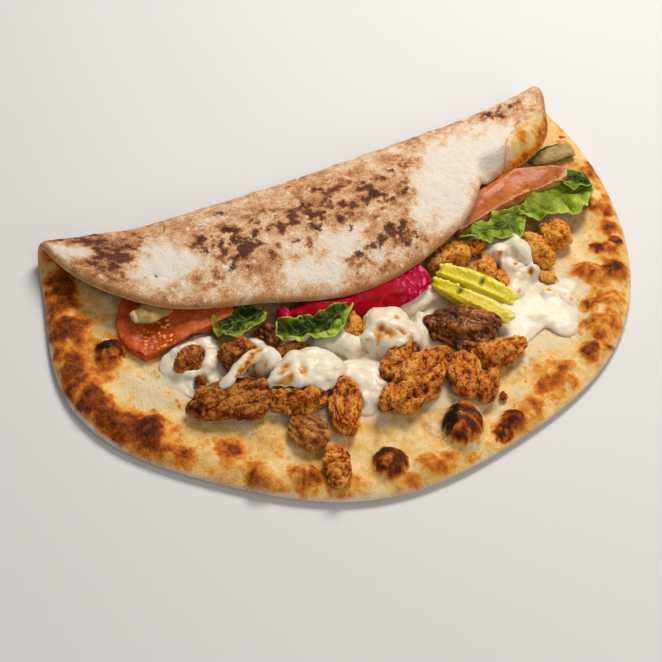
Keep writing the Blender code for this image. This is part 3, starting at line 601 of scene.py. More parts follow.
SPECKS = (
    (-61, 79, 2, 0.9), (-61, 87, 2.2, 1), (-54, 84, 2, 1), (-48, 79, 2.6, 1), (-46, 95, 2.4, 1),
    (-38, 86, 2.6, 1), (-55, 100, 2.4, 1), (-48, 63, 2.2, 0.9), (-56, 68, 2, 0.8), (-64, 85, 2.2, 0.7),
    (-29, 86, 2.2, 0.9), (-25, 79, 2, 0.8), (2, 73, 2.2, 0.8), (-11, 61, 1.8, 0.8), (-7, 98, 2.8, 1),
    (4, 96, 2.2, 0.9), (-11, 94, 2.4, 1), (-21, 99, 2.2, 0.8), (23, 80, 2.4, 0.9), (39, 80, 2.4, 0.9),
    (27, 91, 2.4, 1), (33, 98, 2.4, 1), (22, 113, 3, 1), (29, 116, 2.6, 1), (11, 120, 3, 0.9),
    (30, 125, 2.4, 0.8), (17, 118, 3, 0.8), (4, 119, 2.6, 0.7), (102, 73, 4, 0.6), (120, 57, 4, 0.8),
    (119, 79, 3.5, 0.7), (-107, 72, 2.2, 0.6), (-101, 80, 2.2, 0.6), (-106, 80, 2, 0.5), (-35, 77, 2, 0.8),
    (-46, 88, 2.4, 0.9), (-36, 93, 2.2, 0.7), (11, 87, 2, 0.7), (18, 95, 2, 0.8), (6, 104, 1.8, 0.7),
    (2, 88, 2, 0.7), (40, 97, 2, 0.8), (-10, 78, 1.8, 0.7), (-16, 104, 1.6, 0.6), (36, 125, 2, 0.7),
)
PITS = (
    (-90, 90, 1.2, 1), (-89, 92, 0.9, 1), (-37, 120, 0.9, 1), (82, 90, 0.9, 1), (86, 103, 0.9, 0.7),
    (79, 99, 0.7, 0.6), (-116, 76, 0.8, 0.8),
)
CREAMY = (
    (-107, -55, 12, 1), (-93, -72, 10, 0.8), (-128, 12, 6, 0.5), (-76, -92, 8, 0.9), (-40, -106, 8, 0.8),
    (90, -60, 16, 1), (100, -45, 12, 0.8), (108, -28, 10, 0.7), (26, -118, 6, 0.9), (30, -130, 7, 0.8),
    (44, -118, 7, 0.7), (2, -122, 6, 0.8), (-18, -122, 7, 0.6), (60, -100, 9, 0.5), (-62, -112, 7, 0.6),
    (-115, -15, 8, 0.6), (118, -48, 8, 0.5), (72, -92, 9, 0.6),
)
CREAMY_LIP = ((116, 98.5, 4.5, 1), (122, 95, 3, 0.8))
PINK = ((144.9, 24.8, 1.6, 1), (147.1, 24.0, 1, 0.8))


def stain(x, y, spots, wander=1.0, sharp=1.3, depth=0.75):
    """How strongly a table of spots marks each flat place."""
    places = flow(x, y)
    x = x + wander * (2.4 * MM * grain(places, 6, 5) + 1.1 * MM * grain(places, 2.2, 6))
    y = y + wander * (2.4 * MM * grain(places, 6, 7) + 1.1 * MM * grain(places, 2.2, 8))
    left = np.ones(len(x))
    for spot_x, spot_y, radius, strength in spots:
        away = ((x - spot_x * MM) ** 2 + (y - spot_y * MM) ** 2) / (radius * MM) ** 2
        left = left * (1 - np.clip(depth * strength, 0, 0.97) * np.exp(-(away**sharp)))
    return 1 - left


print(len(TOASTED) + len(BROWNED), "toasted spots")

# %% [markdown]
# ## Making the sheet
#
# A closed sheet is two layers of points with the same triangles, joined round the rim. The flat points come
# from rows and rings, and a triangulation joins them. The triangles are about a millimetre and a half wide,
# so that small blisters and creases are real shape and not only shading.

# %% The flat points
SPACING = 1.55 * MM


def flat_points():
    """Points over the flat disc with rings along its rim, and the number of points on the outline."""
    count = int(2 * math.pi * DISC_RADIUS / SPACING)
    loops = []
    insets = (0, 0.25, 0.8, 1.7, 2.9)
    for number, inset in enumerate(insets):
        turned = (np.arange(count) + (number % 2) / 2) * 2 * math.pi / count
        radius = outline_radius(turned) - inset * MM
        loops.append(np.stack([radius * np.cos(turned), radius * np.sin(turned)], axis=1))
    steps = np.arange(-1.1 * DISC_RADIUS, 1.1 * DISC_RADIUS, SPACING)
    x, y = np.meshgrid(steps, steps * math.sqrt(3) / 2 * 1.2)
    x[::2] += SPACING / 2
    inner = np.stack([x.ravel(), y.ravel()], axis=1)
    inner = inner[from_edge(inner[:, 0], inner[:, 1]) > insets[-1] * MM + 0.55 * SPACING]
    return np.concatenate([*loops, inner]), count


flat, rim_count = flat_points()
inside_outline = 1
triangulated = geometry.delaunay_2d_cdt(
    [Vector(p) for p in flat.tolist()], [], [list(range(rim_count))], inside_outline, 1e-7
)
flat = np.array([tuple(p) for p in triangulated[0]])
print(len(flat), "flat points,", len(triangulated[2]), "triangles")

# %% Toasting of the upper side
disc_x, disc_y = flat.T
edge = from_edge(disc_x, disc_y)
spread = flow(disc_x, disc_y)
rounding = np.sqrt(1 - (1 - np.clip(edge / EDGE_ROUND, 0, 1)) ** 2)
raised = smooth((disc_y - along(disc_x, FOLD_STATIONS, FOLD_BEHIND)) / (6 * MM))

char = stain(disc_x, disc_y, CHARRED, 0.8, 1.2, 0.9)
toast = stain(disc_x, disc_y, TOASTED, 1.3, 1.1, 0.46)
rim_band = bell(edge, 9 * MM, 8 * MM)
# The rim is toasted more towards the left: real browning, and partly painted shade where the near left side
# lies out of the light.
left_side = smooth((-disc_x - 95 * MM) / (30 * MM))
puffs = np.sqrt(np.clip(1 - (cells(spread, 13, 32) / 0.5) ** 2, 0, 1))
heat = smooth((puffs - 0.45) / 0.4) * np.clip(0.55 + 1.5 * grain(spread, 15, 33), 0, 1)
rim_toast = rim_band * (0.14 + 0.52 * left_side + 0.42 * heat + 0.4 * layers(spread, 9, 21, 3, 0.6))
toast = toast * np.clip(0.88 + 0.75 * layers(spread, 6, 27, 3, 0.65), 0.3, 1.5)
toast = np.clip(toast + np.clip(rim_toast, 0, 1) + 0.1 * layers(spread, 20, 28, 3, 0.6), 0, 0.86)
pool = copy_of("melted_cheese", "pool")
pool_tree = tree_of(pool)
bpy.data.objects.remove(pool)
lying = flow(disc_x + DISC_MIDDLE[0], disc_y + DISC_MIDDLE[1], SHEET)
beside = np.array([pool_tree.find_nearest(Vector(place))[3] for place in lying.tolist()])
halo = smooth(1.1 - beside / (11 * MM) + 0.5 * layers(spread, 9, 58, 3, 0.6))
creamy = np.maximum(stain(disc_x, disc_y, CREAMY, 2.0, 1.0, 0.9), 0.85 * halo)
print("toasting from", round(toast.min(), 2), "to", round(toast.max(), 2))

# %% Relief of the upper side
bubbles = [(x, y, 1.3 * radius, 0.2 * radius * strength) for x, y, radius, strength in TOASTED]
wobble = 1.6 * MM * grain(spread, 5, 31)
blister = domes(disc_x, disc_y, BLISTERS)
small = domes(disc_x + wobble, disc_y - wobble, SMALL_BLISTERS + tuple(bubbles))
relief = 0.9 * MM * layers(spread, 15, 22, 3, 0.55) + 0.2 * MM * layers(spread, 2.8, 23, 2)
relief += small + (0.7 + 0.8 * heat) * MM * puffs * rim_band
drawn_skin = flow(1.5 * (disc_x + 0.5 * disc_y), 0.6 * (disc_y - 0.5 * disc_x))
relief += 0.8 * MM * smooth(blister / (2.5 * MM)) * layers(drawn_skin, 5, 24, 4, 0.7)
relief += 0.45 * MM * toast * layers(spread, 4, 25, 3, 0.7) + 0.5 * MM * creamy
top = SHEET + RIM_RISE * bell(edge, RIM_FROM_EDGE, RIM_WIDTH) + blister
top = EDGE_HEIGHT + (top + relief * smooth(edge / (4 * MM)) - EDGE_HEIGHT) * rounding
toast = np.clip(toast + 0.16 * smooth(blister / (3 * MM)), 0, 1)
scorched_tops = [(*row[:4], 1) for row in (*BLISTERS[:3], BLISTERS[6])]
scorched_tops += [(28, -137, 4.6, 4.6, 1), (133, -54, 3.6, 3.6, 1), (122, -54, 3.4, 3.4, 1)]
high = domes(disc_x, disc_y, scorched_tops) / MM
skin_heat = 0.9 + 0.5 * layers(drawn_skin, 3.4, 34, 4, 0.75)
hot = smooth((high + 0.2 * layers(spread, 3, 35, 2) - 0.12) / 0.28)
second_x, second_y = BLISTERS[1][0] * MM, BLISTERS[1][1] * MM
skin_heat += 0.14 * (np.hypot(disc_x - second_x, disc_y - second_y) < 12 * MM)
toast = toast * (1 - hot) + hot * np.clip(skin_heat, 0.55, 1)
ring = smooth(high / 0.05) * (1 - smooth((high - 0.1) / 0.2))
toast = toast * (1 - 0.7 * ring)
creamy = np.maximum(creamy, 0.8 * ring)
print("the highest blister rises", round(blister.max() / MM, 1), "mm")

# %% Marks and relief of the flap's outside
flour = stain(disc_x, disc_y, FLOURED, 1.8, 1.0, 0.9)
brown = stain(disc_x, disc_y, BROWNED, 2.2, 1.0, 0.6)
speck = stain(disc_x, disc_y, SPECKS, 1.0, 1.0, 0.95)
freckle = smooth((layers(spread, 4.2, 59, 3, 0.65) - 0.14) / 0.36)
# Pits are small dents in the flap's outside, and they are painted nearly black later, as painted shade in the
# pits.
pit = stain(disc_x, disc_y, PITS, 0.3, 1.0, 0.95)
pimples = smooth(1 - cells(spread + 0.3, 6.5, 41) / 0.2)
scorch = 0.37 + 0.18 * brown - 0.58 * flour + 0.06 * bell(edge, 0, 1.4 * MM) - 0.5 * pimples
scorch += 0.05 * bell(edge, 5 * MM, 6 * MM) + 0.12 * layers(spread, 14, 51, 3, 0.6)
scorch += 0.1 * layers(spread, 3, 53, 2, 0.6)
scorch += freckle * (1 - flour) * (0.08 + 0.5 * smooth(brown / 0.55))
rim_brown = bell(edge, 3.5 * MM, 4.5 * MM) * (0.8 + 0.7 * layers(spread, 8, 62, 3, 0.6))
# Brown spots are darkened further towards the left of the flap: real browning, and partly painted shade on the
# side away from the light.
scorch += 0.04 * rim_brown + 0.34 * brown * smooth((-disc_x - 70 * MM) / (40 * MM))
scorch = np.where(raised > 0.01, scorch, 0.14 + 0.2 * layers(spread, 12, 52))
under = EDGE_HEIGHT * (1 - rounding)
under_relief = 0.3 * MM * layers(spread, 9, 42, 3, 0.6) - 0.45 * MM * pimples - 0.3 * MM * speck
under_relief += 0.14 * MM * layers(spread, 2.4, 43, 2) + 0.9 * MM * pit
turn_starts = along(disc_y, (92, 96, 100, 106), (113, 105.5, 103, 98))
turned_in = np.minimum(disc_x - turn_starts, disc_y - 92.5 * MM) + 0.8 * MM * grain(spread, 4, 63)
brink = bell(turned_in, -1.2 * MM, 1.5 * MM)
under_relief -= 1.7 * MM * brink
under_relief += 1.3 * MM * smooth(turned_in / (3 * MM)) * smooth(edge / (7 * MM))
fold_line = bell(turned_in, -2.2 * MM, 2.0 * MM) * smooth((disc_y - 84 * MM) / (6 * MM))
fold_line *= np.clip(0.85 + 0.6 * layers(spread, 5, 65, 2), 0, 1.2)
scorch = np.maximum(scorch, 0.5 * fold_line)
under = under + under_relief * raised * smooth(edge / (3 * MM))
print("scorching from", round(scorch.min(), 2), "to", round(scorch.max(), 2))

# %% The folded sheet
total = len(flat)
lower = np.arange(total)
lower[rim_count:] += total - rim_count
bread_faces = []
for a, b, c in triangulated[2]:
    ab, ac = flat[b] - flat[a], flat[c] - flat[a]
    if ab[0] * ac[1] - ab[1] * ac[0] < 0:
        b, c = c, b
    bread_faces += [(a, b, c), (int(lower[a]), int(lower[c]), int(lower[b]))]
upper_side = fold(disc_x, disc_y, top)
lower_side = fold(disc_x, disc_y, under)
bread = new_piece("flatbread_crust", np.concatenate([upper_side, lower_side[rim_count:]]), bread_faces)
put_points(bread, points_of(bread))
print("the sheet has", len(bread_faces), "triangles")


# %% Marks of the folded sheet
def both_sides(upper, beneath):
    """A value for the points of both sides, the rim's with the upper side."""
    return np.concatenate([upper, beneath[rim_count:]])


amber = bell(edge, 0, 3.6 * MM) * np.clip(0.9 + 0.5 * layers(spread, 7, 64, 2), 0, 1)
amber = np.maximum(amber, 0.8 * fold_line)
lip_mask = smooth(turned_in / (1.6 * MM) + 0.5) * raised
lip_toast = 0.13 + 0.38 * smooth(1.2 - edge / (6 * MM)) + 0.35 * layers(spread, 7, 54, 3, 0.6)
front_left = smooth((-disc_x - 8 * MM) / (40 * MM)) * smooth((-disc_y + 20 * MM) / (40 * MM))
pale_edge = smooth(0.9 - edge / (1.6 * MM) + 0.7 * layers(spread, 8, 56, 2)) * front_left
pale_edge = np.maximum(pale_edge, 0.5 * smooth(1 - edge / (1.2 * MM)))
mark(
    bread,
    outside=both_sides(pale_edge * (1 - lip_mask), 1 - lip_mask),
    toast=both_sides(toast, np.clip(lip_toast, 0, 1)),
    scorch=both_sides(np.clip(0.12 + 0.25 * layers(spread, 6, 57, 2), 0, 1), np.clip(scorch, 0, 1)),
    char=both_sides(char, 0 * char),
    speck=both_sides(0 * speck, np.clip(speck, 0, 1)),
    amber=both_sides(amber * raised * (1 - toast), amber * raised * (1 - lip_mask)),
    creamy=both_sides(creamy, stain(disc_x, disc_y, CREAMY_LIP, 0.6)),
    pink=both_sides(stain(disc_x, disc_y, PINK, 0.2), 0 * creamy),
    hollow=both_sides(0 * pit, pit),
)
print("marks:", ", ".join(layer.name for layer in bread.data.attributes if not layer.is_internal))

# %% [markdown]
# ### The dough's finish
#
# One material does both sides. A mark on the points says which side it is, and the toasting there runs
# along a ramp of colours from pale dough to char. Fine noise moves the toasting up and down, because real
# browning is freckled down to the size of a flour grain.

# %% The dough's finish
crust_finish, start, place = new_finish(
    "baked dough", 0.6, glow=0.08, glow_radius=(1.0, 0.5, 0.25), shine=0.1
)
fine = place.noise(0.9, 3, 0.7)
middling = place.noise(3.2, 5, 0.68)
broad = place.noise(13, 4, 0.6)
dough_tone = broad + (middling - 0.5) * 0.6
inside_colour = dough_tone.ramp(
    (0.26, (0.50, 0.27, 0.075)), (0.42, (0.69, 0.41, 0.12)), (0.55, (0.76, 0.53, 0.22)),
    (0.70, (0.76, 0.60, 0.36)),
)
cream_mark = start.attribute("creamy") + (middling - 0.5) * 1.1
inside_colour = cream_mark.rise(0.3, 0.75).blend(inside_colour, (0.70, 0.55, 0.33))
toast_mark = start.attribute("toast") + (middling - 0.5) * 1.0 + (fine - 0.5) * 0.4
toasted_colour = toast_mark.ramp(
    (0.14, (0.76, 0.47, 0.14)), (0.32, (0.68, 0.30, 0.045)), (0.52, (0.56, 0.155, 0.013)),
    (0.76, (0.28, 0.055, 0.005)), (1.0, (0.07, 0.013, 0.002)),
)
inside_colour = toast_mark.rise(0.12, 0.34).blend(inside_colour, toasted_colour)
char_mark = start.attribute("char") + (middling - 0.5) * 1.1 + (fine - 0.5) * 0.6
inside_colour = char_mark.rise(0.4, 0.78).blend(inside_colour, (0.014, 0.008, 0.006))
inside_colour = (start.attribute("pink") * 1.6).rise(0.2, 0.8).blend(inside_colour, (0.50, 0.004, 0.05))

scorch_mark = start.attribute("scorch") + (middling - 0.5) * 0.6 + (fine - 0.5) * 0.95
outside_colour = scorch_mark.ramp(
    (0.06, (0.72, 0.63, 0.53)), (0.24, (0.70, 0.53, 0.37)), (0.44, (0.58, 0.31, 0.145)),
    (0.64, (0.36, 0.145, 0.062)), (0.88, (0.11, 0.038, 0.02)),
)
amber_mark = start.attribute("amber") + (fine - 0.5) * 0.6
amber_colour = fine.ramp((0.35, (0.30, 0.095, 0.022)), (0.6, (0.66, 0.30, 0.10)))
outside_colour = (amber_mark.rise(0.25, 0.9) * 0.75).blend(outside_colour, amber_colour)
speck_mark = start.attribute("speck") + (fine - 0.5) * 0.8 + (middling - 0.5) * 1.2
outside_colour = (speck_mark.rise(0.25, 0.6) * 0.92).blend(outside_colour, (0.075, 0.024, 0.012))
dough_colour = start.attribute("outside").blend(inside_colour, outside_colour)
# The pits are painted nearly black, as painted shade.
dough_colour = start.attribute("hollow").rise(0.4, 0.8).blend(dough_colour, (0.03, 0.012, 0.008))
dough_gloss = start.attribute("outside") * 0.35 + toast_mark.rise(0.1, 0.5) * 0.15 + 0.42
fill(crust_finish, fine * 0.8 + middling * 1.6, 0.5 * MM, Base_Color=dough_colour, Roughness=dough_gloss)
serve(bread, crust_finish, "crust", "flatbread")

# %% [markdown]
# ## Crumbs, seeds and flecks
#
# Spice clings to the chicken as crumbs, seeds sit in the tomato, and flecks of pepper lie on the dough. Each
# is one small lump repeated many times. Copies could be placed by a loop in Python. Geometry Nodes do it
# here, because they know where a surface runs and which way it faces: a tree scatters points where a mark
# on the surface is high, puts a lump of a random size and turn on each, and turns the copies into mesh.

# %% A tree that sprinkles
SPRINKLE_INPUTS = {
    "Surface": "Geometry", "Lumps per square metre": "Float", "Smallest": "Float", "Largest": "Float",
    "Seed": "Int",
}
LUMP_TILT = 0.3


def sprinkle_tree(form, finish, sides):
    """Geometry Nodes that strew lumps of one form over a surface, where its mark called strewn is high."""
    tree = bpy.data.node_groups.new("sprinkle", "GeometryNodeTree")
    for title, kind in SPRINKLE_INPUTS.items():
        tree.interface.new_socket(title, in_out="INPUT", socket_type="NodeSocket" + kind)
    tree.interface.new_socket("Lumps", in_out="OUTPUT", socket_type="NodeSocketGeometry")
    add = Wire(tree).node
    given = add("NodeGroupInput")
    seed = given.beside("Seed")
    strewn = add("GeometryNodeInputNamedAttribute", {"data_type": "FLOAT"}, {"Name": "strewn"}, "Attribute")
    sockets = {"Mesh": given, "Density": given.beside("Lumps per square metre") * strewn, "Seed": seed}
    spots = add("GeometryNodeDistributePointsOnFaces", {"distribute_method": "RANDOM"}, sockets, "Points")
    ball = add("GeometryNodeMeshIcoSphere", None, {"Radius": 0.5, "Subdivisions": sides}, "Mesh")
    lump = add("GeometryNodeTransform", None, {"Geometry": ball, "Scale": form})
    sockets = {2: given.beside("Smallest"), 3: given.beside("Largest"), "Seed": seed}
    size = add("FunctionNodeRandomValue", {"data_type": "FLOAT"}, sockets, 1)
    sockets = {0: (-LUMP_TILT, -LUMP_TILT, 0), 1: (LUMP_TILT, LUMP_TILT, 2 * math.pi), "Seed": seed}
    angles = add("FunctionNodeRandomValue", {"data_type": "FLOAT_VECTOR"}, sockets)
    spin = add("FunctionNodeEulerToRotation", None, {"Euler": angles})
    sockets = {"Rotation": spots.beside("Rotation"), "Rotate By": spin}
    turned = add("FunctionNodeRotateRotation", {"rotation_space": "LOCAL"}, sockets)
    sockets = {"Points": spots, "Instance": lump, "Rotation": turned, "Scale": size}
    copies = add("GeometryNodeInstanceOnPoints", None, sockets)
    whole = add("GeometryNodeRealizeInstances", None, {"Geometry": copies})
    coated = add("GeometryNodeSetMaterial", None, {"Geometry": whole, "Material": finish})
    tree.links.new(coated.socket, tree.nodes.new("NodeGroupOutput").inputs["Lumps"])
    return tree


def sprinkle(name, surface, strewn, finish, count, sizes, form=(1, 1, 0.7), seed=1, sides=1):
    """Strews about a number of lumps, in mm from smallest to largest, over a surface."""
    made = bpy.data.objects.new(name, surface.data.copy())
    bpy.context.scene.collection.objects.link(made)
    mark(made, strewn=strewn)
    areas = np.zeros(len(made.data.polygons))
    made.data.polygons.foreach_get("area", areas)
    corners = np.array([polygon.vertices[0] for polygon in made.data.polygons])
    tree = sprinkle_tree(form, finish, sides)
    strewing = made.modifiers.new("sprinkle", "NODES")
    strewing.node_group = tree
    wanted = {
        "Lumps per square metre": float(count / max(1e-9, (areas * strewn[corners]).sum())),
        "Smallest": sizes[0] * MM, "Largest": sizes[1] * MM, "Seed": seed,
    }
    for item in tree.interface.items_tree:
        if item.in_out == "INPUT" and item.name in wanted:
            strewing[item.identifier] = wanted[item.name]
    applied(made)
    put_points(made, points_of(made))
    return made


def gathered(name, pieces, mark_name):
    """One object with the points, faces and one mark of several, which go."""
    points, faces, marks, count = [], [], [], 0
    for piece in pieces:
        points.append(points_of(piece))
        faces += [tuple(count + number for number in polygon.vertices) for polygon in piece.data.polygons]
        found = np.zeros(len(piece.data.vertices))
        piece.data.attributes[mark_name].data.foreach_get("value", found)
        marks.append(found)
        count += len(found)
        bpy.data.objects.remove(piece)
    made = new_piece(name, np.concatenate(points), faces)
    mark(made, **{mark_name: np.concatenate(marks)})
    return made


print("sprinkling tree ready")

# %% Pepper flecks on the dough
fleck_finish, start, place = new_finish("pepper fleck", 0.6)
grit = place.noise(1)
fleck_colour = grit.rise(0.3, 0.7).blend((0.04, 0.014, 0.006), (0.11, 0.035, 0.01))
fill(fleck_finish, grit, 0.1 * MM, Base_Color=fleck_colour)
bare = both_sides(smooth((edge - 6 * MM) / (8 * MM)) * (disc_y < -30 * MM) * (1 - toast) ** 2, 0 * toast)
flecks = sprinkle("pepper_flecks", bread, bare, fleck_finish, 60, (0.4, 0.9), (1.2, 0.8, 0.4), 9)
serve(flecks, fleck_finish, "chicken_dark")

# %% [markdown]
# ## The chicken
#
# Shawarma chicken is shaved and chopped: each chunk is a rounded lump with folds along its fibres and a
# crumbly, spiced and roasted skin. A sculpted model for each would be heavy. The solids' forms are kept, and
# several sizes of relief are pushed into a fine skin over them, from folds along the fibres down to grains.


# %% Relief of a roast chunk
def lobes(points, size, seed):
    """Rounded lumps with clefts between them, from 0 to 1."""
    return np.minimum(2.2 * np.abs(grain(points, size, seed)), 1)


def roast(made, seed, stretch, lumps, crumbs):
    """Pushes relief, drawn out along a chunk, into it and marks how high each point stands."""
    points = points_of(made)
    shifted = points - points.mean(axis=0)
    axis = np.linalg.svd(shifted[:: max(1, len(points) // 400)], full_matrices=False)[2][0]
    length = shifted @ axis
    drawn = shifted - np.outer(length, axis) * (1 - stretch) + seed * 0.013
    bulk = smooth(np.ptp(points, axis=0).min() / (11 * MM))
    swell = grain(drawn, 9, seed)
    muscle = lobes(drawn, 8, seed + 1)
    clump = lobes(drawn, 3.4, seed + 2)
    crumb = 0.6 - cells(drawn, 1.6, seed + 3)
    scrap = layers(shifted, 1.8, seed + 9, 3, 0.8)
    fibre = lobes(shifted - np.outer(length, axis) * 0.82, 1.9, seed + 5) - 0.6
    lift = lumps * (0.9 * swell + 1.7 * (muscle - 0.6)) + 0.7 * (clump - 0.6) + 0.35 * scrap
    lift += crumbs * 0.6 * crumb + (1 - crumbs) * 0.7 * fibre
    push(made, bulk * lift + 0.3)
    height = 0.4 * (muscle - 0.6) + 0.3 * (clump - 0.6) + 0.35 * scrap + crumbs * 0.45 * crumb
    height += (1 - crumbs) * 0.5 * fibre
    mark(made, crag=np.clip(0.55 + height, 0, 1))


print("relief ready")

# %% Kinds of roast: deep, body, light and crest colours, coat, and the numbers of their chunks
# The colours run with the height mark: the deep colour is painted shade in the creases, and the light and
# crest colours are painted light and highlights on the raised parts.
AMBER = (0.86, 0.42, 0.085)
GOLDEN_CHUNKS = (10, 17, 18, 19, 20, 21, 22, 23)
ROASTS = {
    "roast chicken": ((0.11, 0.015, 0.001), (0.54, 0.112, 0.004), (0.76, 0.23, 0.014), AMBER, 0.08, ()),
    "golden chicken": (
        (0.30, 0.050, 0.002), (0.78, 0.24, 0.012), (0.86, 0.37, 0.035), AMBER,
        0.08, GOLDEN_CHUNKS,
    ),
    "brown chicken": (
        (0.05, 0.007, 0.001), (0.21, 0.036, 0.002), (0.36, 0.080, 0.005), (0.62, 0.23, 0.03),
        0.1, (1, 2, 7, 8),
    ),
    "deep roast chicken": (
        (0.03, 0.006, 0.001), (0.15, 0.030, 0.002), (0.29, 0.075, 0.007), (0.52, 0.20, 0.04),
        0.2, (12, 24),
    ),
    "tan chicken": (
        (0.10, 0.016, 0.001), (0.36, 0.085, 0.005), (0.50, 0.16, 0.012), (0.70, 0.33, 0.07),
        0.16, (5,),
    ),
}


def roast_finish(name, coat, deep, body, light, crest):
    """Roasted and spiced meat, with painted shade in its creases and painted highlights on its crests."""
    made, start, place = new_finish(name, 0.5, coat=coat, glow=0.05, shine=0.16)
    fine = place.noise(0.6, 3, 0.7)
    patch = place.noise(4, 4, 0.65)
    crag = start.attribute("crag") + (fine - 0.5) * 1.3 + (patch - 0.5) * 1.0
    # Low places get the deep colour as painted shade and high places the crest colour as painted highlights,
    # and noise adds the meat's own uneven tone.
    colour = crag.ramp((0.1, deep), (0.36, body), (0.64, light), (0.95, crest))
    pepper = place.noise(1.2).rise(0.62, 0.69)
    colour = (pepper * 0.85).blend(colour, (0.05, 0.011, 0.001))
    gloss = 0.62 - crag * 0.32
    fill(made, fine + crag * 0.5, 0.6 * MM, Base_Color=colour, Roughness=gloss)
    return made


roasts, looks = {}, {}
for kind, (*colours, coat, numbers) in ROASTS.items():
    roasts[kind] = roast_finish(kind, coat, *colours)
    looks.update(dict.fromkeys(numbers, roasts[kind]))
print(len(roasts), "kinds of roast")

# %% The crumbs' finish
crumb_finish, start, place = new_finish("spice crumb", 0.55, coat=0.1, glow=0.05, shine=0.15)
tint = place.noise(1.6, 3, 0.6)
deep_crumb = tint.ramp((0.3, (0.10, 0.018, 0.002)), (0.5, (0.40, 0.10, 0.008)), (0.7, (0.66, 0.25, 0.04)))
gold_crumb = tint.ramp((0.3, (0.30, 0.06, 0.005)), (0.5, (0.66, 0.19, 0.015)), (0.7, (0.80, 0.38, 0.08)))
fill(crumb_finish, tint, 0.2 * MM, Base_Color=start.attribute("gilt").blend(deep_crumb, gold_crumb))

# %% The chunks
CHUNK_SKIN = 0.45 * MM
POINTS_PER_CRUMB, GOLDEN_POINTS_PER_CRUMB = 85, 60
FIBROUS_CHUNKS = (1, 4, 5, 9, 12, 13, 14, 15)
SLEEK_CHUNKS = (1, 4, 5, 12, 13, 24)
chunks = sorted(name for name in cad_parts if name.startswith("chicken_") and name != "chicken_heap")
crumbs = []
for number, node in enumerate(chunks, 1):
    chunk = fine_skin(node, node.replace("chicken", "roast_chunk"), CHUNK_SKIN, 5)
    golden = number in GOLDEN_CHUNKS
    sleek = number in SLEEK_CHUNKS
    stretch = 0.5 if number in FIBROUS_CHUNKS else 0.9
    roast(chunk, 7 * number, stretch, lumps=0.5 if golden else 1.0, crumbs=0.25 if sleek else 1.0)
    mark(chunk, gilt=np.full(len(chunk.data.vertices), 1.0 if golden else 0.0))
    spiced = np.clip(points_of(chunk, "normal")[:, 2] + 0.5, 0, 1)
    if not sleek:
        wanted = int(len(chunk.data.vertices) / (GOLDEN_POINTS_PER_CRUMB if golden else POINTS_PER_CRUMB))
        crumbs.append(sprinkle("crumbs", chunk, spiced, crumb_finish, wanted, (0.6, 1.5), seed=number))
    serve(chunk, looks.get(number, roasts["roast chicken"]), "chicken", node)
spice = gathered("spice_crumbs", crumbs, "gilt")
serve(spice, crumb_finish, "chicken")
print("crumbs make", len(spice.data.polygons), "faces")

# %% The filling under the flap
heap = fine_skin("chicken_heap", "hidden_filling", 1.1 * MM, 3)
roast(heap, 400, stretch=0.9, lumps=1.8, crumbs=1.2)
serve(heap, roasts["deep roast chicken"], "chicken_dark", "chicken_heap")

# %% [markdown]
# ## The cheese
#
# Melted cheese runs down between the chunks, hangs over them in soft knobs and strands, and pools on the
# dough. Its tops are freckled brown where the oven caught them. The solid's runs are skinned finely, softened
# until they look poured, and thinned out where they meet the dough.

# %% Spots on the cheese: x, y and radius in mm from the origin, and strength
CHEESE_SPOTS = (
    (70, 2, 1.2, 0.8), (73, -5, 1.6, 1), (79, -12, 1.4, 1), (82, -24, 1.6, 0.8), (88, -30, 1.2, 0.6),
    (91, -33, 1.5, 0.8), (68, -20, 1.2, 0.7), (30, -6, 1.2, 0.6), (-48, -36, 2.6, 1), (-55, -37, 2.2, 0.9),
    (-60, -37, 2.4, 0.9), (-54, -28, 1.8, 0.9), (-56, -31, 1.8, 0.8), (-10, -15, 1.6, 0.9), (-5, -24, 3, 1),
    (-2, -27, 2.4, 1), (-8, -27, 2, 0.6), (-13, -25, 1.3, 0.6), (3, -28, 1.6, 0.9),
    (6, -20, 1.6, 0.9), (-13, -44, 1.6, 0.8), (-28, -40, 1.8, 0.5), (-60, -24, 1.4, 0.7),
    (-62, -18, 2, 0.9), (-65, -20, 2, 1), (-69, -23, 2, 1), (-73, -25, 2, 0.9), (-76, -27, 1.8, 0.7),
    (6, -31, 1.6, 0.8), (24, -20, 1.4, 0.6), (5, -36, 1.8, 0.8),
)
CALM_CHEESE = ((77, -38, 13, 1), (71, -29, 10, 1), (84, -47, 10, 1), (62, -36, 8, 0.8))
print(len(CHEESE_SPOTS), "browned spots and", len(CALM_CHEESE), "places where the cheese lies smooth")

# %% Runs and pools
cheese = fine_skin("melted_cheese", "cheese_runs", 0.7 * MM, 16)
points, normals = points_of(cheese), points_of(cheese, "normal")
bread_tree = tree_of(bread)
dough_height = height_over(bread_tree, points, start=9 * MM)
over = np.clip(points[:, 2] - dough_height, 0, 20 * MM)
deep = smooth(over / (6 * MM))
hung = points * (1, 1, 0.35)
folds = (1 - np.abs(grain(hung, 11, 61))) ** 3
strings = (1 - np.abs(grain(hung, 5.5, 62))) ** 6
valley = cells(hung, 9.5, 65)
poured = 2.0 * (0.5 - valley) + 0.8 * (0.5 - cells(hung, 4.4, 66)) + 0.5 * (folds - 0.35) + 0.3 * strings
calm = stain(*points.T[:2], CALM_CHEESE, 0, 1.0, 0.9)
points = points + normals * ((poured * deep * (1 - 0.75 * calm) + 0.2) * MM)[:, None]
points[:, 2] -= over * (1 - smooth(over / (9 * MM))) * 0.95 + 1.6 * MM * (1 - smooth(over / (3.2 * MM)))
facing_up = smooth((normals[:, 2] - 0.1) / 0.5)
scorched = stain(*points.T[:2], CHEESE_SPOTS, 0.5, 1.0, 0.95)
scorched *= smooth((points[:, 2] - 4.6 * MM) / (1.6 * MM))
scorched *= 0.25 + 0.75 * facing_up
points = points - normals * (0.9 * MM * scorched * deep)[:, None]
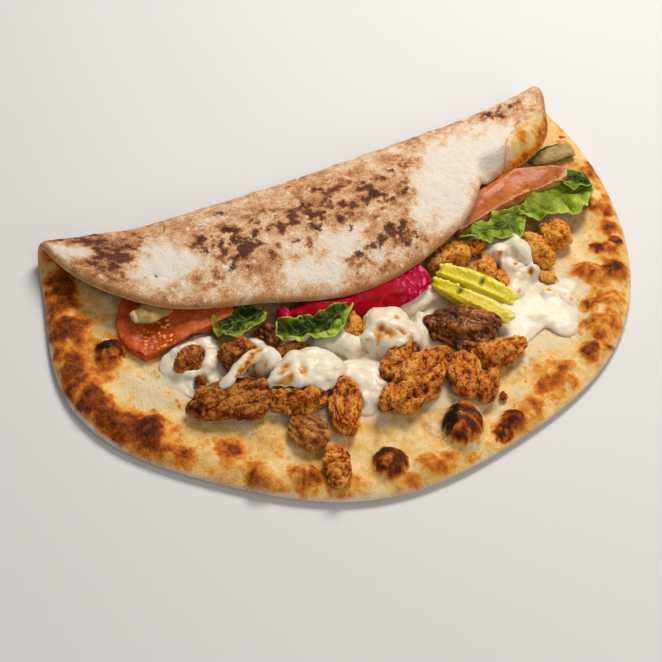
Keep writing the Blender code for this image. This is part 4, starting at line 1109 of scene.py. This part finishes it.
knobs = tuple((x, y, 2.3 * radius, 1) for x, y, radius, strength in CHEESE_SPOTS if x > 60)
beaded = stain(*points.T[:2], knobs, 0.6, 2.0, 0.95) * facing_up * smooth(over / (1.5 * MM))
points[:, 2] += 1.5 * MM * beaded
put_points(cheese, points)
thick = points[:, 2] - dough_height
freckled = smooth((strings - 0.6) / 0.3) * deep * facing_up * np.clip(grain(points, 9, 64), 0, 1)
freckled += smooth((valley - 0.62) / 0.2) * deep * np.clip(0.4 + 1.5 * grain(points, 12, 67), 0, 1)
browned = np.clip(scorched + 0.4 * freckled, 0, 1)
# The low places between the folds are marked for painted shade.
mark(cheese, thick=thick / MM, browned=browned, dip=np.clip(0.4 - folds * 0.5, 0, 1))

# %% The cheese's finish
cheese_finish, start, place = new_finish(
    "melted cheese", 0.4, coat=0.1, glow=0.2, glow_radius=(1.0, 0.72, 0.42), shine=0.25
)
mottle = place.noise(6, 3, 0.6)
fine = place.noise(1.2, 3, 0.6)
thin = 1 - (start.attribute("thick") + (mottle - 0.5) * 3).rise(0.5, 4.0)
# The colour is darker in the low places between folds, as painted shade.
cheese_colour = (mottle - start.attribute("dip") * 0.25).ramp(
    (0.2, (0.61, 0.48, 0.30)), (0.45, (0.71, 0.615, 0.46)), (0.65, (0.72, 0.66, 0.55)),
)
cheese_colour = (thin * 0.65).blend(cheese_colour, (0.64, 0.53, 0.37))
scorch = start.attribute("browned") + (fine - 0.5) * 0.35
cheese_colour = scorch.rise(0.16, 0.5).blend(cheese_colour, (0.66, 0.32, 0.07))
cheese_colour = scorch.rise(0.5, 0.95).blend(cheese_colour, (0.28, 0.07, 0.009))
fill(cheese_finish, mottle + fine * 0.3, 0.25 * MM, Base_Color=cheese_colour)
serve(cheese, cheese_finish, "cheese", "melted_cheese")

# %% [markdown]
# ## Tomato, cucumber, turnip and pepper
#
# Cut vegetables are wet and smooth, and their colour is their drawing: a tomato slice has a skin, an outer
# wall, a dark pocket of jelly with seeds and a pale core. The marks are worked out from each point's place
# in the slice, so they stay true from every side.


# %% The tomato slice at the left
SLICE_MIDDLE = (-88 * MM, 27.2 * MM)
SLICE_RADIUS = 28 * MM


def spot(x, y, middle_x, middle_y, reach_x, reach_y, turn=0.0):
    """A soft-edged oval mark, from 0 to 1, with its sizes in mm."""
    x, y = x / MM - middle_x, y / MM - middle_y
    turned_x, turned_y = x * math.cos(turn) + y * math.sin(turn), y * math.cos(turn) - x * math.sin(turn)
    return np.exp(-(((turned_x / reach_x) ** 2 + (turned_y / reach_y) ** 2) ** 2))


slice_skin = fine_skin("tomato_left", "tomato_slice", 0.45 * MM, 5)
points, normals = points_of(slice_skin), points_of(slice_skin, "normal")
slice_x = points[:, 0] - SLICE_MIDDLE[0] + 1.0 * MM * grain(points, 6, 71)
slice_y = points[:, 1] - SLICE_MIDDLE[1] + 1.0 * MM * grain(points, 6, 72)
out = np.hypot(slice_x, slice_y) / SLICE_RADIUS
facing_up = smooth((normals[:, 2] - 0.3) / 0.4)
pocket = spot(slice_x, slice_y, -12, -10, 8.5, 12, -0.25) * facing_up
core = spot(slice_x, slice_y, 12, -14, 19, 7.5, 0.28)
core = np.maximum(core, spot(slice_x, slice_y, -22, -20, 6, 4, -0.6))
ridges = np.abs(grain(flow(out * 6 * MM, np.arctan2(slice_y, slice_x) * 9 * MM), 2.4, 74))
lift = -1.7 * pocket + 0.5 * core * facing_up + 0.4 * layers(points, 5, 73, 3) + 0.3 * (ridges - 0.4)
lift += 0.5 * pocket * (0.6 - cells(points, 2.4, 75))
push(slice_skin, lift)
mark(slice_skin, rim=smooth((out - 0.96) / 0.04), pocket=pocket, core=core * facing_up)

# %% The slice's finish
tomato_finish, start, place = new_finish(
    "cut tomato", 0.4, coat=0.08, glow=0.15, glow_radius=(1.0, 0.25, 0.1), shine=0.22
)
mottle = place.noise(4, 4, 0.65)
fine = place.noise(1.0, 2, 0.6)
speckle = mottle + (fine - 0.5) * 0.5
wall = speckle.rise(0.2, 0.8).blend((0.40, 0.044, 0.006), (0.64, 0.13, 0.026))
core_colour = speckle.rise(0.2, 0.8).blend((0.42, 0.065, 0.009), (0.62, 0.155, 0.038))
tomato_colour = start.attribute("core").rise(0.15, 0.7).blend(wall, core_colour)
pocket_mark = (start.attribute("pocket") + (fine - 0.5) * 0.3).rise(0.25, 0.6)
jelly = place.cells(2.4).rise(0.15, 0.45).blend((0.76, 0.23, 0.016), (0.40, 0.055, 0.003))
tomato_colour = pocket_mark.blend(tomato_colour, jelly)
tomato_colour = start.attribute("rim").blend(tomato_colour, (0.36, 0.02, 0.004))
fill(tomato_finish, mottle + fine * 0.4, 0.4 * MM, Base_Color=tomato_colour)
serve(slice_skin, tomato_finish, "tomato", "tomato_left")

# %% The slice's seeds
seed_finish, start, place = new_finish("tomato seed", 0.35, coat=0.1, shine=0.3)
mottle = place.noise(3)
seed_colour = mottle.rise(0.35, 0.65).blend((0.80, 0.24, 0.03), (0.84, 0.42, 0.10))
fill(seed_finish, place.noise(1), 0.1 * MM, Base_Color=seed_colour)
seeded = smooth((pocket - 0.35) / 0.3) * smooth((slice_x / MM + 13) / 3)
seeds = sprinkle("tomato_seeds", slice_skin, seeded, seed_finish, 9, (1.4, 2.2), (1.35, 0.9, 0.5), 4, 2)
serve(seeds, seed_finish, "tomato")

# %% The wedge's finish
wedge_finish, start, place = new_finish(
    "tomato flesh", 0.42, coat=0.06, glow=0.15, glow_radius=(1.0, 0.3, 0.12), shine=0.2
)
mottle = place.noise(8, 3, 0.6)
fine = place.noise(1.6, 3, 0.6)
speckle = mottle + (fine - 0.5) * 0.5
wedge_colour = speckle.ramp(
    (0.25, (0.33, 0.070, 0.010)), (0.5, (0.46, 0.125, 0.020)), (0.75, (0.56, 0.19, 0.045)),
)
# Faces turned to the front get a lighter orange than the rest, as painted light and shade.
front_colour = speckle.ramp((0.3, (0.50, 0.16, 0.035)), (0.7, (0.68, 0.29, 0.09)))
wedge_colour = start.attribute("front").blend(wedge_colour, front_colour)
# A pale band along the ridge is a painted highlight.
crease_mark = start.attribute("crease") + (fine - 0.5) * 0.4
wedge_colour = (crease_mark.rise(0.25, 0.75) * 0.85).blend(wedge_colour, (0.78, 0.50, 0.26))
jelly_colour = fine.ramp((0.35, (0.30, 0.05, 0.004)), (0.6, (0.62, 0.19, 0.02)), (0.75, (0.78, 0.42, 0.12)))
wedge_colour = start.attribute("jelly").rise(0.25, 0.6).blend(wedge_colour, jelly_colour)
red_mark = start.attribute("red") + (fine - 0.5) * 0.4
wedge_colour = red_mark.rise(0.3, 0.7).blend(wedge_colour, (0.42, 0.025, 0.003))
fill(wedge_finish, mottle + fine * 0.4, 0.4 * MM, Base_Color=wedge_colour)
print("wedge finish ready")

# %% The tomato wedge at the right, with spots of x, y and radius in mm from the origin, and strength
RED_MARKS = ((101.7, 43.5, 2, 0.9), (103.8, 41.0, 1.4, 0.8), (118.6, 36.2, 1.8, 0.8))
JELLY = ((94.9, 31.5, 4.2, 1), (100.4, 33.6, 3.4, 0.9))
wedge = fine_skin("tomato_right", "tomato_wedge", 0.55 * MM, 4)
points, normals = points_of(wedge), points_of(wedge, "normal")
# These marks follow which way the faces turn: the front faces are painted lighter, and the ridge is raised and
# also painted with a highlight band.
facing_front = smooth((0.3 - normals[:, 1]) / 0.3)
crease = bell(normals[:, 2], 0.66, 0.14) * facing_front
front = smooth((0.6 - normals[:, 2]) / 0.25) * facing_front
jelly = stain(*points.T[:2], JELLY, 0.6, 1.3, 0.95) * smooth((normals[:, 2] - 0.05) / 0.2)
lift = 0.6 * layers(points, 12, 81, 2, 0.5) + 0.4 * crease + 0.07 * layers(points, 2.5, 83, 2)
lift += jelly * (1.3 * (0.6 - cells(points, 3.4, 84)) - 0.5)
push(wedge, lift)
mark(wedge, crease=crease, front=front, jelly=jelly, red=stain(*points.T[:2], RED_MARKS, 0.5))
serve(wedge, wedge_finish, "tomato", "tomato_right")

# %% The cucumber slices
cucumber_finish, start, place = new_finish(
    "pickled cucumber", 0.45, coat=0.03, glow=0.15, glow_radius=(0.8, 0.8, 0.3), shine=0.12
)
mottle = place.noise(3, 4, 0.7)
flesh = mottle.rise(0.25, 0.75).blend((0.27, 0.16, 0.042), (0.43, 0.285, 0.10))
rind_mark = start.attribute("rim") + (mottle - 0.5) * 0.5
cucumber_colour = rind_mark.rise(0.3, 0.6).blend(flesh, (0.035, 0.045, 0.005))
edge_mark = start.attribute("edge") + (mottle - 0.5) * 0.5
cucumber_colour = edge_mark.rise(0.3, 0.7).blend(cucumber_colour, (0.66, 0.48, 0.27))
fill(cucumber_finish, mottle, 0.4 * MM, Base_Color=cucumber_colour)
for node, rind in (("cucumber_left", 0.0), ("cucumber_right", 1.0)):
    piece = fine_skin(node, node.replace("cucumber", "pickle_slice"), 0.45 * MM, 6)
    points, normals = points_of(piece), points_of(piece, "normal")
    rear = smooth((points[:, 1] - np.quantile(points[:, 1], 0.72)) / (2 * MM))
    left = smooth((np.quantile(points[:, 0], 0.10) - points[:, 0]) / (1.5 * MM) + 0.5)
    side = smooth((0.5 - np.abs(normals[:, 2])) / 0.3)
    push(piece, 0.35 * layers(points, 4, 85, 3, 0.6))
    mark(piece, rim=rind * np.maximum(rear, 0.6 * side), edge=(1 - rind) * np.maximum(left, 0.5 * side))
    serve(piece, cucumber_finish, "cucumber", node)

# %% The pickled turnip
turnip_finish, start, place = new_finish(
    "pickled turnip", 0.5, coat=0.02, glow=0.1, glow_radius=(1.0, 0.1, 0.2), shine=0.03
)
fine = place.noise(1.1, 3, 0.65)
streak = place.noise(7, 3, 0.6)
turnip_colour = streak.rise(0.2, 0.8).blend((0.18, 0.001, 0.003), (0.40, 0.001, 0.010))
turnip_colour = (start.attribute("vein") * 0.3).blend(turnip_colour, (0.60, 0.03, 0.05))
# At the rough end the colour is dark crimson with bright pink glints painted on, as painted highlights.
bright = start.attribute("bright")
glint = (fine + start.attribute("ripple") * 0.35).rise(0.7, 1.15)
sparkle = glint.blend((0.36, 0.001, 0.025), (0.85, 0.13, 0.26))
turnip_colour = bright.blend(turnip_colour, sparkle)
fill(turnip_finish, fine * bright + streak * 0.4, 0.6 * MM, Base_Color=turnip_colour)
for node in ("turnip_strip", "turnip_tip"):
    piece = fine_skin(node, node.replace("turnip", "pickled_turnip"), 0.5 * MM, 5)
    points = points_of(piece)
    rough = smooth((points[:, 0] - 10 * MM) / (9 * MM)) if node == "turnip_strip" else 0.5 + 0 * points[:, 0]
    ripple = np.abs(grain(points @ np.array([[0.6, 0.8, 0], [-0.3, 0.25, 0], [0, 0, 1]]), 1.7, 92))
    vein = bell(grain(points, 9, 93), 0, 0.06)
    push(piece, 0.5 * layers(points, 9, 91, 2) + rough * 0.55 * ripple + 0.12 * vein)
    mark(piece, bright=rough, ripple=ripple * 2, vein=vein)
    serve(piece, turnip_finish, "turnip", node)

# %% The pepper strips
pepper_finish, start, place = new_finish(
    "pickled pepper", 0.42, coat=0.08, glow=0.2, glow_radius=(0.9, 0.8, 0.1), shine=0.22
)
fine = place.noise(0.9, 3, 0.6)
mottle = place.noise(4)
# The strip is painted lighter along its ridges and darker in its grooves, as painted highlights and shade.
ridge = start.attribute("ridge") + (fine - 0.5) * 0.25 + (mottle - 0.5) * 0.2
pepper_colour = ridge.ramp(
    (0.05, (0.22, 0.18, 0.002)), (0.32, (0.56, 0.40, 0.004)), (0.6, (0.70, 0.54, 0.010)),
    (0.9, (0.80, 0.76, 0.16)),
)
pepper_colour = start.attribute("notch").blend(pepper_colour, (0.05, 0.085, 0.006))
pepper_colour = start.attribute("pale").blend(pepper_colour, (0.72, 0.62, 0.16))
fill(pepper_finish, fine * 0.6 + mottle, 0.4 * MM, Base_Color=pepper_colour)
NOTCHES = {"pepper_back": 0.12, "pepper_front": -0.28}  # place of a dark notch along each, from -1 to 1
for node, notch_at in NOTCHES.items():
    piece = fine_skin(node, node.replace("pepper", "pepper_strip"), 0.42 * MM, 4)
    points = points_of(piece)
    middle = points.mean(axis=0)
    axis = np.linalg.svd((points - middle)[:: len(points) // 400], full_matrices=False)[2][0][:2]
    axis = axis * np.sign(axis[0])
    length = (points[:, :2] - middle[:2]) @ axis
    across = (points[:, 1] - middle[1]) * axis[0] - (points[:, 0] - middle[0]) * axis[1]
    length = length / np.abs(length).max()
    across = across / np.quantile(np.abs(across), 0.98) + 0.12 * grain(points, 7, 95)
    jag = np.abs(grain(points, 1.9, 96))
    crest = bell(across, 0.45, 0.26)
    second = bell(across, -0.55, 0.2)
    notch = bell(length, notch_at, 0.05) * bell(across, 0.1, 0.5)
    lift = 1.5 * crest * (0.75 + 0.9 * (jag - 0.3)) + 0.7 * second * (0.7 + jag) - 1.5 * notch - 0.5
    push(piece, lift)
    pale = smooth((length - 0.86) / 0.1) * 0.7
    mark(piece, ridge=np.clip(0.3 + 0.6 * crest * (0.7 + jag) + 0.35 * second, 0, 1), notch=notch, pale=pale)
    serve(piece, pepper_finish, "pepper", node)

# %% [markdown]
# ## The lettuce
#
# A torn leaf is a thin sheet that is longer at its edge than in its middle, so the edge ruffles. A cloth
# simulation could find that shape, but waves that grow towards the edge look the same and always land on
# the solids. The sheet gets its thickness last, and its rib and veins are a mark for the finish.

# %% The leaves' sizes
LEAVES = {  # spine stations of x, y and half width, in mm from the disc's middle
    "lettuce_1": ((-72.0, -36.9, 7), (-65.2, -37.7, 9), (-56.8, -38.9, 9), (-46.9, -39.0, 5)),
    "lettuce_2": ((-46.4, -52.1, 5), (-36.0, -55.9, 8), (-24.8, -58.8, 9), (-10.6, -53.6, 6)),
    "lettuce_3": ((57.4, -29.5, 3), (70.2, -29.9, 6), (83.2, -29.3, 8), (95.3, -23.0, 5)),
    "lettuce_4": ((92.9, -24.2, 5), (104.0, -25.6, 9), (118.9, -21.5, 14), (136.7, -18.9, 9)),
    "lettuce_5": ((116.0, -8.0, 4), (124.0, -10.5, 6), (131.0, -15.5, 6), (137.0, -21.0, 3)),
}
# The hollow sinks a leaf's middle and paints it dark, as painted shade, and paints its near half lighter, as
# painted light.
LEAF_HABITS = (  # curl, tone, crinkling and hollow
    (0.6, 0.25, 1, 0.3), (2.4, 0.28, 1, 1), (0.9, 0.52, 0.7, 0.15), (1, 0.64, 0.3, 0.05), (1, 0.24, 0.8, 0.3),
)
LEAF_ALONG, LEAF_ACROSS = 110, 56
LEAF_THICK = 0.6 * MM
BED_ROUNDS = 60
print(len(LEAVES), "leaves of", LEAF_ALONG, "by", LEAF_ACROSS, "points")


# %% Making a leaf
def leaf_bed(node, flat_grid, shape):
    """Smoothed heights of a leaf's solid under a grid of points."""
    bed_piece = copy_of(node, "leaf_bed")
    bed = height_over(tree_of(bed_piece), flat_grid, fallback=-1)
    bpy.data.objects.remove(bed_piece)
    bed = np.where(bed > 0, bed, bed[bed > 0].mean()).reshape(shape)
    for _ in range(BED_ROUNDS):
        padded = np.pad(bed, 1, mode="edge")
        bed = (padded[:-2, 1:-1] + padded[2:, 1:-1] + padded[1:-1, :-2] + padded[1:-1, 2:]) / 4
    return bed


def closed_sheet(name, points, thickness):
    """A closed sheet of a thickness about a grid of points."""
    normals = np.cross(np.gradient(points, axis=1), np.gradient(points, axis=0))
    normals *= np.sign(normals[:, :, 2:])
    normals /= np.linalg.norm(normals, axis=2, keepdims=True)
    sides = [(points + sign * normals * thickness / 2).reshape(-1, 3) for sign in (-1, 1)]
    count = len(sides[0])
    index = np.arange(count).reshape(points.shape[:2])
    quads = np.stack([index[:-1, :-1], index[:-1, 1:], index[1:, 1:], index[1:, :-1]], axis=2).reshape(-1, 4)
    rim = np.concatenate([index[0, :-1], index[:-1, -1], index[-1, :0:-1], index[:0:-1, 0]])
    after = np.roll(rim, -1)
    faces = (quads + count).tolist() + quads[:, ::-1].tolist()
    faces += np.stack([rim, after, after + count, rim + count], axis=1).tolist()
    return new_piece(name, np.concatenate(sides), faces)


def leaf(node, stations, seed, curl, tone, crinkled, hollow):
    """A ruffled leaf that lies where its solid lies."""
    place, width = np.meshgrid(np.linspace(-1, 1, LEAF_ALONG), np.linspace(-1, 1, LEAF_ACROSS))
    table = np.array(stations) * MM
    knots = np.linspace(-1, 1, len(stations))
    x, y, half = (np.interp(place, knots, column) for column in table.T)
    slope_x, slope_y = (np.interp(place, knots, np.gradient(table[:, column], knots)) for column in (0, 1))
    length = np.hypot(slope_x, slope_y)
    run = place * length.mean()
    reach = np.abs(width)

    def waves(points, size, draw, kind=grain):
        """Noise over the leaf's grid."""
        return kind(points, size, seed + draw).reshape(place.shape)

    rand = flow(run + seed * 0.1, np.sign(width) * 0.05)
    scallops = 1 + (0.24 * waves(rand, 7, 0) + 0.07 * waves(rand, 2.6, 1))
    side = width * half * np.sqrt(1 - 0.8 * place**4) * scallops * 1.08
    grid_x = DISC_MIDDLE[0] + x - slope_y / length * side
    grid_y = DISC_MIDDLE[1] + y + slope_x / length * side
    bed = leaf_bed(node, flow(grid_x, grid_y), place.shape)
    there = flow(grid_x, grid_y, seed * 0.01)
    ruffle = waves(flow(run * 1.25, width * 5 * MM, seed * 0.02), 4.4, 2)
    flutter = waves(flow(run, width * 3 * MM, seed * 0.03), 1.9, 3)
    crinkle = crinkled * (waves(there, 4.6, 4, lobes) - 0.6 + 0.5 * (waves(there, 2.2, 5, lobes) - 0.6))
    drapery = waves(there * (1.3, 0.7, 1), 12, 6, lobes) - 0.6
    # The cup is real shape, and it is also painted dark further on, as painted shade.
    cupped = hollow * bell(place, 0.15, 0.5) * bell(width, 0.22, 0.42)
    rise = curl * reach**2 + (1.2 + 1.8 * crinkled) * ruffle * reach**1.3 + 0.9 * flutter * reach**3
    rise += 1.1 * crinkle + 4.6 * (1 - crinkled) * drapery
    rise -= 0.7 * bell(width, 0, 0.1) + 1.6 * cupped
    height = bed + 0.9 * rise * MM
    points = np.stack([grid_x, grid_y, height], axis=2)
    tuck = 1.4 * MM * reach**2 * ruffle
    points[:, :, 0] += tuck * slope_y / length * np.sign(width)
    points[:, :, 1] -= tuck * slope_x / length * np.sign(width)
    low_corner, high_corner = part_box(node)
    points[:, :, 2] = np.clip(points[:, :, 2], low_corner[2] - 1 * MM, high_corner[2] + 2 * MM)
    made = closed_sheet(node.replace("lettuce", "lettuce_leaf"), points, LEAF_THICK)
    sideways = np.abs(np.sin(math.pi * (run / (5.5 * MM) + 1.2 * reach + 0.1 * seed))) + 0.25 * crinkle
    vein = np.maximum(1 - np.clip(sideways / 0.22, 0, 1), 1 - np.clip(reach / 0.07, 0, 1))
    # The leaf's own tone, painted lighter on raised crinkles, ruffles and rims and darker in folds and the
    # cup, as painted light and shade.
    shade = tone + 0.36 * crinkle + 0.14 * ruffle + 0.34 * (1 - crinkled) * drapery
    shade += (0.18 + 0.3 * crinkled) * (reach - 0.6) - 0.4 * cupped
    shade += 0.34 * hollow * smooth((-width - 0.15) / 0.5)
    marks = {
        "vein": vein * (1 - 0.8 * cupped),
        "frill": smooth((np.maximum(reach, np.abs(place)) - 0.93) / 0.06),
        "shade": shade,
        "yellowing": smooth((-place - 0.55) / 0.4) * (node == "lettuce_1"),
    }
    mark(made, **{name: np.tile(value.ravel(), 2) for name, value in marks.items()})
    return made


print("leaf maker ready")

# %% The leaf's finish
leaf_finish, start, place = new_finish(
    "lettuce", 0.45, coat=0.02, glow=0.1, glow_radius=(0.4, 1.0, 0.1), shine=0.1
)
mottle = place.noise(4, 3, 0.6)
fine = place.noise(0.9, 2, 0.6)
# The tone mark carries the leaf's own tone together with its painted light and shade.
leaf_colour = (start.attribute("shade") + (mottle - 0.5) * 0.5 + (fine - 0.5) * 0.2).ramp(
    (0.1, (0.016, 0.030, 0.0005)), (0.38, (0.085, 0.125, 0.002)), (0.62, (0.20, 0.26, 0.010)),
    (0.85, (0.38, 0.44, 0.06)),
)
leaf_colour = (start.attribute("vein") * 0.4).blend(leaf_colour, (0.36, 0.42, 0.08))
leaf_colour = (start.attribute("frill") * 0.75).blend(leaf_colour, (0.44, 0.52, 0.10))
leaf_colour = (start.attribute("yellowing") * 0.7).blend(leaf_colour, (0.30, 0.24, 0.012))
fill(leaf_finish, fine * 0.6 + start.attribute("vein") * 0.6, 0.4 * MM, Base_Color=leaf_colour)
for number, (node, stations) in enumerate(LEAVES.items()):
    serve(leaf(node, stations, number + 1, *LEAF_HABITS[number]), leaf_finish, "lettuce", node)
